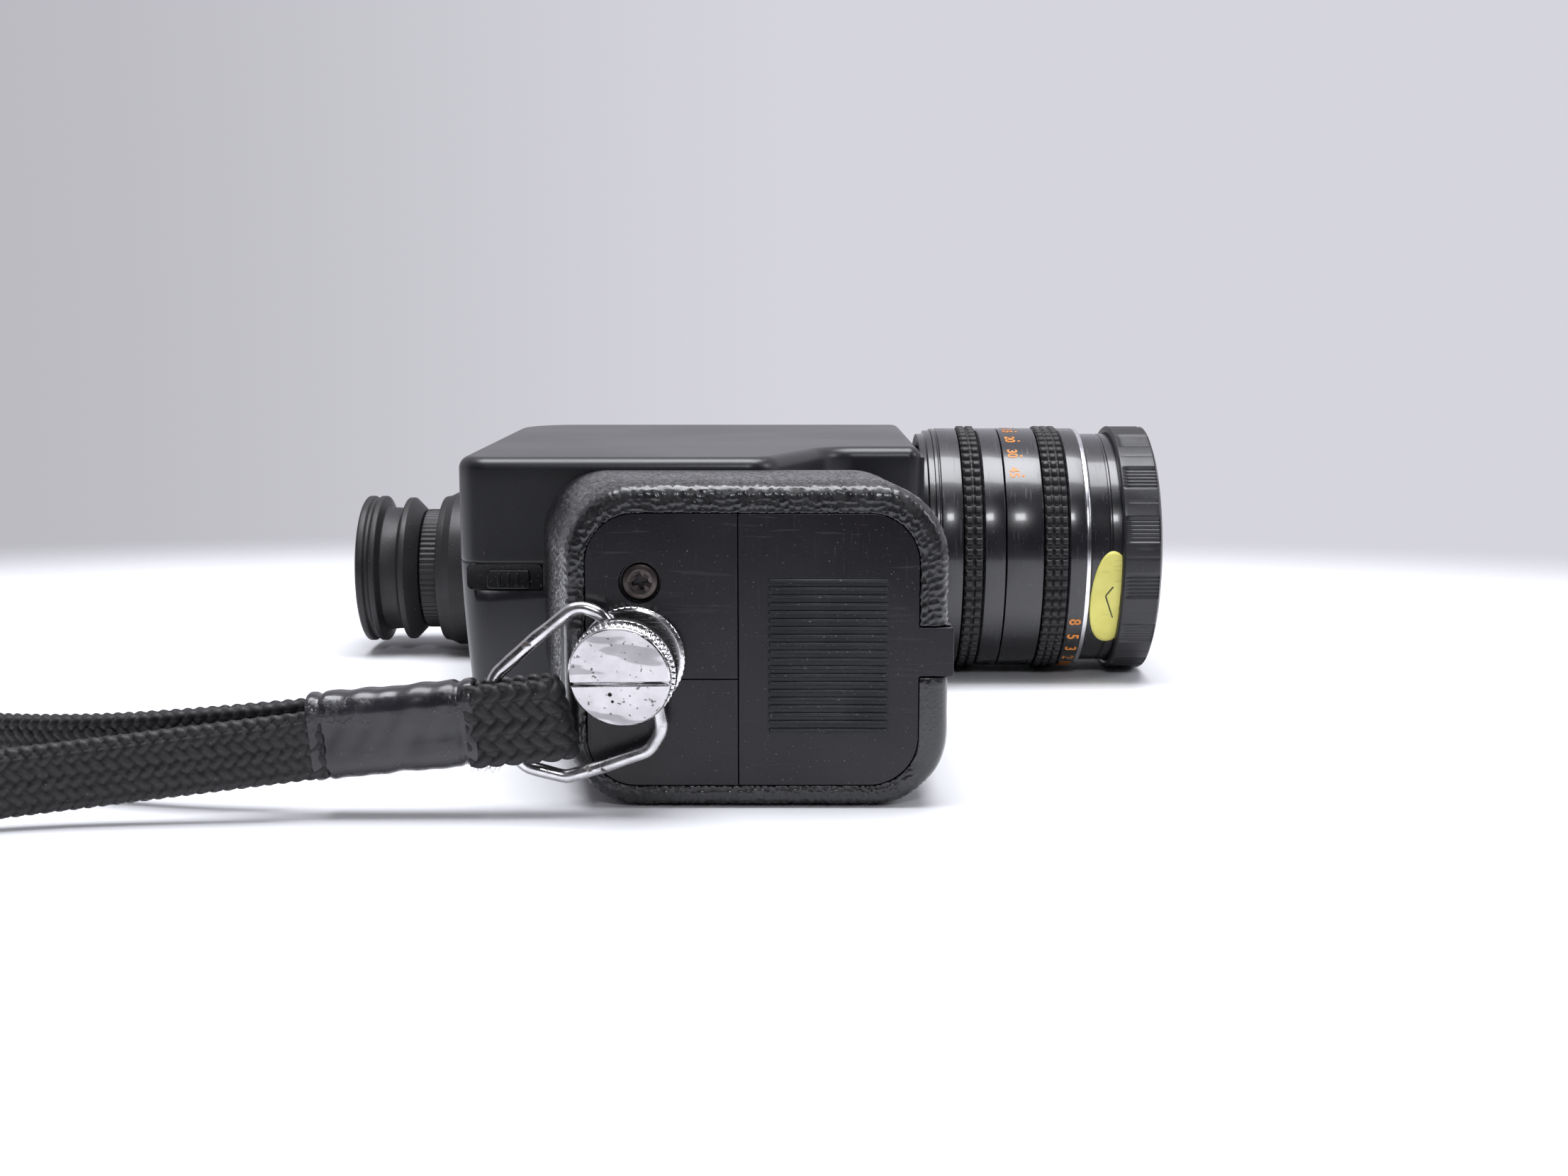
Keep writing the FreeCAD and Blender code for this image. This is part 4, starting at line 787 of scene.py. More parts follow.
# ---------------------------------------------------------------- lens numerals
def numerals(name, words, spots, ring_radius, size, body, paint, axis=LENS_AXIS):
    """Painted numbers: each word's flat mesh, in the plane of the ring, is wrapped round the axis,
    its width becoming an angle and its height a run along the lens."""
    corners, faces, count = [], [], 0
    for word, (along, degrees) in zip(words, spots):
        text = bpy.data.curves.new("word", "FONT")
        text.body, text.size, text.align_x, text.align_y = word, size, "CENTER", "CENTER"
        text.offset = 0.02 * size
        holder = bpy.data.objects.new("word", text)
        bpy.context.scene.collection.objects.link(holder)
        bpy.context.view_layer.update()
        shape = bpy.data.meshes.new_from_object(
            holder.evaluated_get(bpy.context.evaluated_depsgraph_get()))
        flat = np.zeros(len(shape.vertices) * 3)
        shape.vertices.foreach_get("co", flat)
        flat = flat.reshape(-1, 3)
        starts = np.zeros(len(shape.polygons), np.int32)
        shape.polygons.foreach_get("loop_start", starts)
        order = np.zeros(len(shape.loops), np.int32)
        shape.loops.foreach_get("vertex_index", order)
        faces += np.split(order + count, starts[1:])
        angle = math.radians(degrees) - flat[:, 0] / ring_radius
        corners.append(np.stack([axis[0] + along + flat[:, 1], axis[1] - ring_radius * np.cos(angle),
                                 axis[2] + ring_radius * np.sin(angle)], -1))
        count += len(flat)
        bpy.data.objects.remove(holder)
        bpy.data.curves.remove(text)
        bpy.data.meshes.remove(shape)
    mesh = bpy.data.meshes.new(name)
    spots_m = (np.concatenate(corners) + SHIFT) * 0.001
    mesh.from_pydata(spots_m.astype(np.float32), [], [face.tolist() for face in faces])
    mesh.update()
    made = bpy.data.objects.new(name, mesh)
    bpy.context.scene.collection.objects.link(made)
    mesh.materials.append(coat(paint))
    thick = made.modifiers.new("paint", "SOLIDIFY")
    thick.thickness, thick.offset = 0.00005, 1.0
    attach(made, body)
    return made


# ---------------------------------------------------------------- operators
class CINE_OT_finishes(bpy.types.Operator):
    """Make the finishes and paint the frame pieces that keep their shape"""

    bl_idname = "cine.finishes"
    bl_label = "Finishes"

    def execute(self, context):
        mix_coats()
        for name, nodes in PAINTED.items():
            for node in nodes:
                for place in NODES[node].material_slots:
                    place.material = coat(name)
        return {"FINISHED"}


STRAP_ROUTE = [
    (-76.5, -135.0, 13.0), (-101.0, -136.6, 10.2), (-130.0, -140.6, 7.4), (-160.0, -153.5, 6.5),
    (-188.9, -169.5, 6.4), (-216.1, -167.9, 6.3), (-236.9, -150.1, 6.4), (-242.8, -123.5, 6.3),
    (-231.4, -98.7, 6.4), (-207.5, -85.7, 6.4), (-180.5, -89.7, 6.3), (-152.0, -107.5, 6.6),
    (-126.5, -120.5, 8.6), (-101.0, -128.2, 11.4), (-76.5, -130.2, 14.2)]


def flat_braid(path, wide, thick, up, steps_across, scale, squeeze=None, start=0.0):
    """A flat plaited band: a long oval section is carried along the path, its wide way up, and
    every point moves out along the section's own normal by the plait's relief."""
    ahead = np.gradient(path, axis=0)
    ahead /= np.linalg.norm(ahead, axis=1, keepdims=True)
    up = np.asarray(up, float) - ahead * (ahead @ np.asarray(up, float))[:, None]
    up /= np.linalg.norm(up, axis=1, keepdims=True)
    side = np.cross(up, ahead)
    relief_high = details().braid_relief
    angle = np.linspace(0, TURN, 721)[:-1]
    power = 2 / 3.2
    oval = np.stack([np.sign(np.cos(angle)) * np.abs(np.cos(angle)) ** power * (wide / 2 - relief_high),
                     np.sign(np.sin(angle)) * np.abs(np.sin(angle)) ** power * (thick / 2 - relief_high)],
                    -1)
    oval = even_points(oval, steps_across, closed=True)
    out = np.roll(oval, -1, 0) - np.roll(oval, 1, 0)
    out = np.stack([out[:, 1], -out[:, 0]], -1)
    out /= np.linalg.norm(out, axis=1, keepdims=True)
    perimeter = np.linalg.norm(np.roll(oval, -1, 0) - oval, axis=1).sum()
    far = np.concatenate([[0], np.cumsum(np.linalg.norm(np.diff(path, axis=0), axis=1))]) + start
    columns = 2 * round(perimeter / scale / 2)
    around = np.arange(steps_across + 1) / steps_across
    height, across, along = plait(around[None], far[:, None] / (0.54 * scale), columns)
    uv = np.stack([across + np.floor(around * columns)[None], far[:, None] / (0.54 * scale) + 0 * around], -1)
    high = height[:, :-1]
    flat = oval[None] + out[None] * (high * relief_high)[..., None]
    if squeeze is not None:
        flat = flat * np.stack([0 * squeeze + 1, squeeze], -1)[:, None]
    points = path[:, None] + up[:, None] * flat[..., :1] + side[:, None] * flat[..., 1:]
    return points, uv, high


class CINE_OT_wrist_strap(bpy.types.Operator):
    """Lay the plaited wrist strap's loop along its route"""

    bl_idname = "cine.wrist_strap"
    bl_label = "Wrist strap"

    def execute(self, context):
        route = (np.array(STRAP_ROUTE) + SHIFT) * 0.001
        line = bpy.data.curves.new("strap_line", "CURVE")
        line.dimensions = "3D"
        spline = line.splines.new("NURBS")
        spline.points.add(len(route) - 1)
        spline.points.foreach_set("co", np.concatenate([route, np.ones((len(route), 1))], 1).ravel())
        spline.order_u = 3
        spline.use_endpoint_u = True
        line.resolution_u = 24
        holder = bpy.data.objects.new("strap_line", line)
        bpy.context.scene.collection.objects.link(holder)
        bpy.context.view_layer.update()
        drawn = bpy.data.meshes.new_from_object(
            holder.evaluated_get(bpy.context.evaluated_depsgraph_get()))
        spots = np.zeros(len(drawn.vertices) * 3)
        drawn.vertices.foreach_get("co", spots)
        spots = spots.reshape(-1, 3)
        bpy.data.objects.remove(holder)
        bpy.data.curves.remove(line)
        bpy.data.meshes.remove(drawn)
        length = np.linalg.norm(np.diff(spots, axis=0), axis=1).sum()
        path = even_points(spots * 1000 - SHIFT, int(length * 1000 / 0.37))
        share = np.arange(len(path)) / (len(path) - 1) * length * 1000
        edge = np.minimum(share, share[-1] - share)
        squeeze = 0.62 + 0.38 * ramp(edge, 3.0, 11.0)
        points, uv, high = flat_braid(path, 12.0, 4.2, (0, 0, 1), 78, 2.1, squeeze)
        surface = Surface().grid(points, ends=True, uv=uv, relief=high)
        strap = piece("wrist_strap_braid", surface, [coat("braid")], "strap", ["wrist_strap"])
        return {"FINISHED"}


class CINE_OT_strap_end(bpy.types.Operator):
    """Make the crimped sleeve, the folded braid round the bail and its frayed end"""

    bl_idname = "cine.strap_end"
    bl_label = "Strap end"

    def execute(self, context):
        self.sleeve()
        self.fold()
        self.fray()
        return {"FINISHED"}

    def sleeve(self):
        """An oval section carried along the sleeve; its size dips at the two crimps, flares at the
        lips and is dented a little by slow waves."""
        start, end = np.array([-79.0, -132.2, 13.6]), np.array([-51.2, -132.2, 16.2])
        length = np.linalg.norm(end - start)
        ahead = (end - start) / length
        up = np.array([-ahead[2], 0, ahead[0]])
        far = np.concatenate([[1.6, 0.5, 0.12, 0.0, 0.05, 0.25], np.linspace(0.5, length - 0.5, 90),
                              [length - 0.25, length - 0.05, length, length - 0.12, length - 0.5,
                               length - 1.6]])
        bore = np.full(len(far), 0.0)
        bore[:3], bore[-3:] = [1.3, 1.1, 0.8], [0.8, 1.1, 1.3]
        bore[3:6], bore[-6:-3] = [0.45, 0.22, 0.06], [0.06, 0.22, 0.45]
        groove = 0.42 * np.exp(-((far - 2.1) / 0.55) ** 2) + 0.5 * np.exp(-((far - length + 2.6) / 0.6) ** 2)
        groove *= (bore == 0)
        flat = filled_outline(box_corners(-4.2, 4.2, -7.5, 7.5), 3.7, 12, (2, 8, 2, 8))
        angle = np.arctan2(flat[:, 1], flat[:, 0])
        out = flat / np.linalg.norm(flat, axis=1, keepdims=True)
        dent = 0.16 * (np.sin(far[:, None] * 0.55 + 2 * angle) * np.sin(far[:, None] * 0.23 + 1.3)
                       + 0.5 * np.sin(far[:, None] * 1.3 + 3 * angle + 0.6)) + 0.17
        line = 0.14 * np.exp(-((flat[None, :, 1] + 1.6 - 0.02 * far[:, None]) / 0.35) ** 2)
        line = line * (flat[None, :, 0] < 0) * ramp(far[:, None], 9.0, 12.0) * (far[:, None] < 24.5)
        shrink = (bore + groove)[:, None] + dent * ramp(far, 0.2, 4.0)[:, None] + line
        ring = flat[None] - out[None] * shrink[..., None]
        spots = start + ahead * far[:, None, None] + up * ring[..., 1:] + np.array([0, 1, 0]) * ring[..., :1]
        surface = Surface().grid(spots, ends=True)
        piece("strap_sleeve", surface, [coat("sleeve")], "strap", ["strap_ferrule"])

    def fold(self):
        """The braid's hairpin round the wire: two straight runs joined by a half circle."""
        start, end = np.array([-51.2, -132.2, 16.2]), np.array([-37.6, -132.2, 17.4])
        length = np.linalg.norm(end - start)
        ahead = (end - start) / length
        up = np.array([-ahead[2], 0, ahead[0]])
        gap, thick = 2.825, 2.75
        middle = length - gap - thick / 2 + 2.1
        bend = np.linspace(-math.pi / 2, math.pi / 2, 40)
        run = np.linspace(-1.6, middle, 60)[:-1]
        far = np.concatenate([run, middle + gap * np.cos(bend), run[::-1]])
        deep = np.concatenate([0 * run - gap, gap * np.sin(bend), 0 * run + gap])
        path = start + ahead * far[:, None] + np.array([0, 1.0, 0]) * deep[:, None] - up * 0.3
        path = even_points(path, 150)
        points, uv, high = flat_braid(path, 14.4, thick, up, 100, 2.6, start=3.0)
        tall = (points - start) @ up
        share = ramp((points - start) @ ahead, 4.0, length)
        points = points - ahead * (0.15 * tall * share)[..., None]
        surface = Surface().grid(points, ends=True, uv=uv, relief=high)
        piece("strap_fold_braid", surface, [coat("braid")], "strap", ["strap_fold"])

    def fray(self):
        """Loose fibres: each is a three-sided hair along a bent line that starts at the braid's cut
        end and droops."""
        count, steps = 46, 7
        chance = np.random.default_rng(11)
        root = np.stack([chance.uniform(-51.6, -46.5, count), chance.uniform(-135.6, -131.0, count),
                         chance.uniform(9.9, 10.5, count)], -1)
        aim = np.stack([chance.uniform(-2.8, 0.6, count), chance.uniform(-0.9, 0.5, count),
                        chance.uniform(-1.9, -0.7, count)], -1)
        bend = chance.uniform(-0.8, 0.8, (count, 3))
        t = np.linspace(0, 1, steps)[None, :, None]
        lines = root[:, None] + aim[:, None] * t + bend[:, None] * t * t
        angle = np.arange(3) / 3 * TURN
        thin = 0.055 * (1 - 0.7 * t[..., 0])
        surface = Surface()
        for line, width in zip(lines, np.broadcast_to(thin, (count, steps))):
            ring = np.stack([np.cos(angle), 0.3 * np.cos(angle), np.sin(angle)], -1)
            surface.grid(line[:, None] + ring[None] * width[:, None, None], ends=True,
                         relief=np.full((steps, 3), 0.9))
        piece("strap_fray", surface, [coat("braid")], "strap", ())


BAIL_POINTS = [
    (-28.3, 29.9), (-29.9, 34.2), (-34.3, 36.0), (-41.5, 30.3), (-48.6, 23.8), (-48.6, 15.6),
    (-43.6, 8.4), (-36.7, 6.6), (-30.2, 8.5), (-22.6, 11.2), (-20.4, 14.9), (-21.2, 19.3)]


# where the strap screw's foot lies along Y, the way its axis points, and the plane in front of the
# wire that its head stays clear of
FOOT = -128.0
LEAN = np.array([-0.150, -0.9755, -0.160])
HEAD_REAR = -133.48


def leaned(spots):
    """Points turned about the strap screw's foot so that its axis, which ran straight out, follows
    the lean: every point is rebuilt from its distances along and across the leaning axes."""
    foot = np.array([STRAP_SCREW[0], FOOT, STRAP_SCREW[2]])
    out = LEAN / np.linalg.norm(LEAN)
    across = np.cross([0, 0, 1.0], out)
    across /= np.linalg.norm(across)
    up = np.cross(out, across)
    local = spots - foot
    return foot + across * local[..., :1] - out * local[..., 1:2] + up * local[..., 2:]


class CINE_OT_strap_screw(bpy.types.Operator):
    """Turn the knurled strap screw and bend the wire bail behind its head"""

    bl_idname = "cine.strap_screw"
    bl_label = "Strap screw and bail"

    def execute(self, context):
        teeth = details().screw_teeth
        centre = STRAP_SCREW

        def diamonds(low, high, deep):
            """Pyramids in crossing slants: the product of two triangle waves."""
            def height(far, angle, radius):
                turns = angle / TURN * teeth
                here = ramp(far, low, low + 0.25) * (1 - ramp(far, high - 0.25, high))
                return deep * here * (saw(turns + far / 2.1) * saw(turns - far / 2.1) - 1)
            return height

        head = soften([(-138.2, 0.01), (-138.2, 8.35), (-137.7, 8.75), (-135.4, 9.1), (-135.15, 8.9),
                       (-135.0, 9.0), (-134.0, 9.0), (-133.8, 8.8), (-133.8, 5.0), (-134.6, 0.01)],
                      [0, .1, .1, .1, .05, .05, .1, .1, .1, 0], 3, closed=False)
        head = refined(head, 0.28)
        spots = leaned(turned(head, centre, teeth * 8, "y", diamonds(-137.75, -135.3, 0.8)))
        surface = Surface().grid(spots)
        tilt = math.radians(2.4)
        flat = np.array([(-12, -0.45), (12, -0.45), (12, 0.45), (-12, 0.45)])
        flat = np.stack([flat[:, 0] * math.cos(tilt) - flat[:, 1] * math.sin(tilt) + centre[0],
                         flat[:, 0] * math.sin(tilt) + flat[:, 1] * math.cos(tilt) + centre[2] - 1.15], -1)
        slit = np.stack([np.stack([flat[:, 0], np.full(4, y), flat[:, 1]], -1) for y in (-139, -137.1)])
        cutter = Surface().grid(leaned(slit), ends=True, soft=False)
        screw = piece("strap_screw_head", surface, [coat("chrome"), coat("face"), coat("dark")], "camera",
                      ["strap_screw"], [cutter, block(-45, 0, HEAD_REAR, -110, 0, 60)])
        count = len(screw.data.polygons)
        middle, normal = np.zeros(count * 3), np.zeros(count * 3)
        screw.data.polygons.foreach_get("center", middle)
        screw.data.polygons.foreach_get("normal", normal)
        middle = middle.reshape(-1, 3) * 1000 - SHIFT - [centre[0], FOOT, centre[2]]
        depth, facing = middle @ LEAN, normal.reshape(-1, 3) @ LEAN
        flatness = (np.abs(depth - 10.2) < 0.05) & (facing > 0.98)
        # the head's front face takes the brushed coat; its rear ring, below depth 7.1, takes the dark coat as
        # painted shade of the gap between head and flange
        index = np.where(flatness, 1, np.where(depth < 7.1, 2, 0)).astype(np.int32)
        screw.data.polygons.foreach_set("material_index", index)
        screw.data.polygons.foreach_set("use_smooth", ~flatness)

        neck = soften([(-134.2, 0.01), (-134.2, 5.2), (-130.2, 5.2), (-130.2, 0.01)], 0.1, 2, closed=False)
        flange = soften([(-130.6, 0.01), (-130.6, 8.3), (-130.3, 9.0), (-128.6, 9.0), (-128.25, 8.6),
                         (-128.25, 0.01)], [0, .15, .1, .1, .1, 0], 3, closed=False)
        flange = refined(flange, 0.28)
        # the neck between head and flange takes the dark coat as painted shade of the gap between them; the
        # collar, hidden in the grip's end, takes it too
        surface = Surface().grid(leaned(turned(neck, centre, 64, "y")), coat=1)
        surface.grid(turned(flange, centre, teeth * 8, "y", diamonds(-130.35, -128.4, 0.55)))
        collar = soften([(-128.3, 0.01), (-128.3, 5.0), (-121.0, 5.0), (-121.0, 0.01)], 0.1, 2, closed=False)
        surface.grid(turned(collar, centre, 48, "y"), coat=1)
        piece("strap_screw_flange", surface, [coat("chrome"), coat("dark")], "camera", ())

        bend = np.array(BAIL_POINTS)
        corners = np.stack([bend[:, 0], 0 * bend[:, 0] - 132.2, bend[:, 1]], -1)
        path = even_points(soften(corners, 3.6, 10, closed=False), 260)
        share = np.linspace(0, 1, len(path))
        thick = 1.2 - 0.05 * np.sin(share * 40) ** 2 - 0.06 * np.exp(-((share - 0.2) / 0.05) ** 2)
        surface = Surface().grid(tube(path, thick, 20))
        piece("strap_bail_wire", surface, [coat("wire")], "strap", ["strap_bail"])
        return {"FINISHED"}


# the grip's two end sections, as (rear, front, low, high), and where they lie
NECK, END, NECK_Y, END_Y, CORNER = (-49.0, 26.5, 2.0, 52.0), (-37.0, 28.0, 0.0, 56.0), -60.0, -128.0, 13.0
SEAM = (-33.6, 22.95, 3.95, 50.85)


def grip_rings(y, inset, arc=22, sides=(62, 48, 62, 48)):
    """The grip's section at a height y: a straight blend of its neck and end outlines."""
    share = (y - NECK_Y) / (END_Y - NECK_Y)
    both = [filled_outline(offset_corners(box_corners(*s), inset), CORNER - inset, arc, sides)
            for s in (NECK, END)]
    flat = both[0] * (1 - share) + both[1] * share
    return np.stack([flat[:, 0], np.full(len(flat), y), flat[:, 1]], -1)


class CINE_OT_grip_skin(bpy.types.Operator):
    """Wrap the grip in pebbled leatherette that rolls over its end to the seam"""

    bl_idname = "cine.grip_skin"
    bl_label = "Grip skin"

    def execute(self, context):
        arc, sides = 44, (116, 84, 116, 84)
        seam = filled_outline(box_corners(*SEAM), 8.6, arc, sides)
        proud, bend_start, bend_reach = -128.25, -125.4, 2.7
        outer_y = np.concatenate([np.linspace(-66.0, -112.0, 62)[:-1], np.linspace(-112.0, bend_start, 36)])
        rows = [grip_rings(y, 0.0, arc, sides) for y in outer_y]
        bend = np.linspace(0, math.pi / 2, 9)[1:]
        rows += [grip_rings(bend_start, bend_reach * (1 - math.cos(a)), arc, sides)
                 + [0, (proud - bend_start) * math.sin(a), 0] for a in bend]
        last = rows[-1]
        inner = np.stack([seam[:, 0], np.full(len(seam), proud), seam[:, 1]], -1)
        for share in np.linspace(0, 1, 9)[1:]:
            rows.append(last * (1 - share) + inner * share)
        rows[-1] = rows[-1] + [0, 0.06, 0]
        rows.append(inner + [0, 0.45, 0])
        skin_inner = grip_rings(-127.4, 2.55, arc, sides)
        rows += [np.stack([skin_inner[:, 0], np.full(len(seam), -127.8), skin_inner[:, 2]], -1),
                 skin_inner, grip_rings(-66.0, 2.55, arc, sides)]
        spots = np.stack(rows)
        steps = np.linalg.norm(np.diff(spots, axis=0), axis=2)
        down = np.concatenate([np.zeros((1, spots.shape[1])), np.cumsum(steps, 0)])
        ring = np.linalg.norm(np.roll(spots[60], -1, 0) - spots[60], axis=1)
        around = np.cumsum(ring) - ring[0]
        perimeter = ring.sum()
        size = details().grain_size
        round_share = np.broadcast_to(around / perimeter, down.shape)
        relief = pebbles(round_share, down, int(perimeter / size), size, 7)
        fine = pebbles(round_share, down * 1.03, int(perimeter / size * 1.7), size / 1.7, 23)
        relief = relief * 0.82 + fine * 0.18
        last_grained = len(outer_y) + len(bend) + 7
        row = np.arange(len(rows))[:, None]
        keep = (row <= last_grained) * ramp(row + 0 * down, 0, 2)
        x, z = spots[..., 0], spots[..., 2]
        depth_y = -spots[..., 1]
        plain = (ramp(x, 20.5, 23.5) * (1 - ramp(z, 21.8, 23.0)) * ramp(z, 3.2, 6.5)
                 * ramp(depth_y, 74, 78))
        far_strip = (1 - ramp(x, -35.2, -33.6)) * ramp(z, 6.0, 12.0) * (1 - ramp(z, 31.0, 32.5))
        keep = keep * (1 - plain) * (1 - far_strip * ramp(depth_y, 110, 116))
        relief = 1 - (1 - relief) * keep
        across = np.roll(spots, -1, 1) - np.roll(spots, 1, 1)
        along = np.gradient(spots, axis=0)
        out = np.cross(along, across)
        out /= np.maximum(np.linalg.norm(out, axis=2, keepdims=True), 1e-9)
        away = (out * (spots - [-4, 0, 28])).sum(2, keepdims=True)
        out = out * np.sign(away[40].mean())
        depth = details().grain_depth * (1 - relief)
        moved = spots - out * depth[..., None]
        moved[last_grained + 1:] = spots[last_grained + 1:]
        surface = Surface().grid(moved, rows_close=True, relief=relief)
        slot = block(16, 34, -73.0, -60.0, 21.5, 32.5)
        tab = block(22.6, 34, -130, -117.7, 22.7, 31.7)
        piece("grip_leatherette", surface, [coat("leather")], "camera", ["grip_skin"],
              [slot, tab])
        return {"FINISHED"}


class CINE_OT_grip_end(bpy.types.Operator):
    """Fit the grip's end: two plates, the ribbed battery cover with its tab, and the screw"""

    bl_idname = "cine.grip_end"
    bl_label = "Grip end"

    def execute(self, context):
        rear, front, low, high = SEAM
        gap = 0.07
        edge = -7.77
        upper = [(rear + gap, 22.5 + gap), (edge - gap, 22.5 + gap), (edge - gap, high - gap),
                 (rear + gap, high - gap)]
        lower = [(rear + gap, low + gap), (edge - gap, low + gap), (edge - gap, 22.5 - gap),
                 (rear + gap, 22.5 - gap)]
        surface = Surface().grid(plate(upper, [.1, .1, .15, 8.4], END_Y, -125.4, 0.14, 24), ends=True)
        surface.grid(plate(lower, [8.4, .15, .1, .1], END_Y, -125.4, 0.14, 24), ends=True)
        well = soften([(-129, 0.01), (-129, 3.75), (-128.0, 3.6), (-126.6, 3.45), (-126.6, 0.01)], 0.05, 2,
                      closed=False)
        hole = Surface().grid(turned(well, CROSS_SCREW, 64, "y"))
        piece("grip_end_plates", surface, [coat("smooth")], "camera", ["grip_base"], [hole])

        corners = [(edge + gap, low + gap), (front - gap, low + gap), (front - gap, 23.0), (28.75, 23.0),
                   (28.75, 31.4), (front - gap, 31.4), (front - gap, high - gap), (edge + gap, high - gap)]
        radii = [.15, 8.5, .3, .45, .45, .3, 8.5, .15]
        surface = Surface().grid(plate(corners, radii, END_Y, -125.4, 0.16, 18), ends=True)
        tab = box_corners(25.2, 28.75, 23.0, 31.4)
        surface.grid(plate(tab, [.3, .45, .45, .3], -127.9, -118.0, 0.5, 6), ends=True)
        count = 20
        profile = np.array([(-0.40, -127.85), (-0.30, -128.34), (-0.13, -128.5), (0.13, -128.5),
                            (0.30, -128.34), (0.40, -127.85)])
        profile = soften(profile, 0.08, 2, closed=False)
        across = np.array([-2.6, -2.52, -2.3, 17.3, 17.52, 17.6])
        drop = np.array([0.5, 0.18, 0.0, 0.0, 0.18, 0.5])
        for rib in range(count):
            level = 13.75 + 1.35 * rib
            high_y = np.maximum(profile[None, :, 1] + drop[:, None], profile[None, :, 1])
            high_y = np.minimum(high_y, -127.85)
            spots = np.stack([across[:, None] + 0 * high_y, high_y,
                              level + profile[None, :, 0] + 0 * high_y], -1)
            surface.grid(spots, ends=True, coat=1)
        bed = box_corners(-2.75, 17.75, 13.1, 39.95)
        surface.grid(plate(bed, [.2] * 4, -128.06, -127.4, 0.05, 3), ends=True, coat=1)
        knuckle = soften([(4.6, 0.01), (4.6, 1.5), (50.2, 1.5), (50.2, 0.01)], 0.2, 2, closed=False)
        surface.grid(turned(knuckle, (-6.05, -126.25, 0), 24, "z"))
        piece("battery_cover_ribbed", surface, [coat("smooth"), coat("ribs")], "battery_cover",
              ["battery_cover"])

        centre = CROSS_SCREW
        top = soften([(-127.15, 0.01), (-127.3, 2.2), (-127.15, 3.0), (-126.7, 3.2), (-126.0, 3.2),
                      (-126.0, 1.6), (-120.0, 1.6), (-120.0, 0.01)], [0, .6, .4, .1, .1, .1, .2, 0], 4,
                     closed=False)
        surface = Surface().grid(turned(top, centre, 64, "y"))
        arms = []
        for turn in (0.25, 0.25 + math.pi / 2):
            flat = np.array([(-1.75, -0.36), (1.75, -0.36), (1.75, 0.36), (-1.75, 0.36)])
            c, s = math.cos(turn), math.sin(turn)
            layers = []
            for y, scale in ((-128.0, 1.0), (-125.9, 0.45)):
                x, z = flat[:, 0] * scale, flat[:, 1]
                layers.append(np.stack([x * c - z * s + centre[0], np.full(4, y),
                                        x * s + z * c + centre[2]], -1))
            arms.append(Surface().grid(np.stack(layers), ends=True, soft=False))
        piece("cross_head_screw", surface, [coat("phillips")], "camera", ["base_screw"], arms)
        return {"FINISHED"}


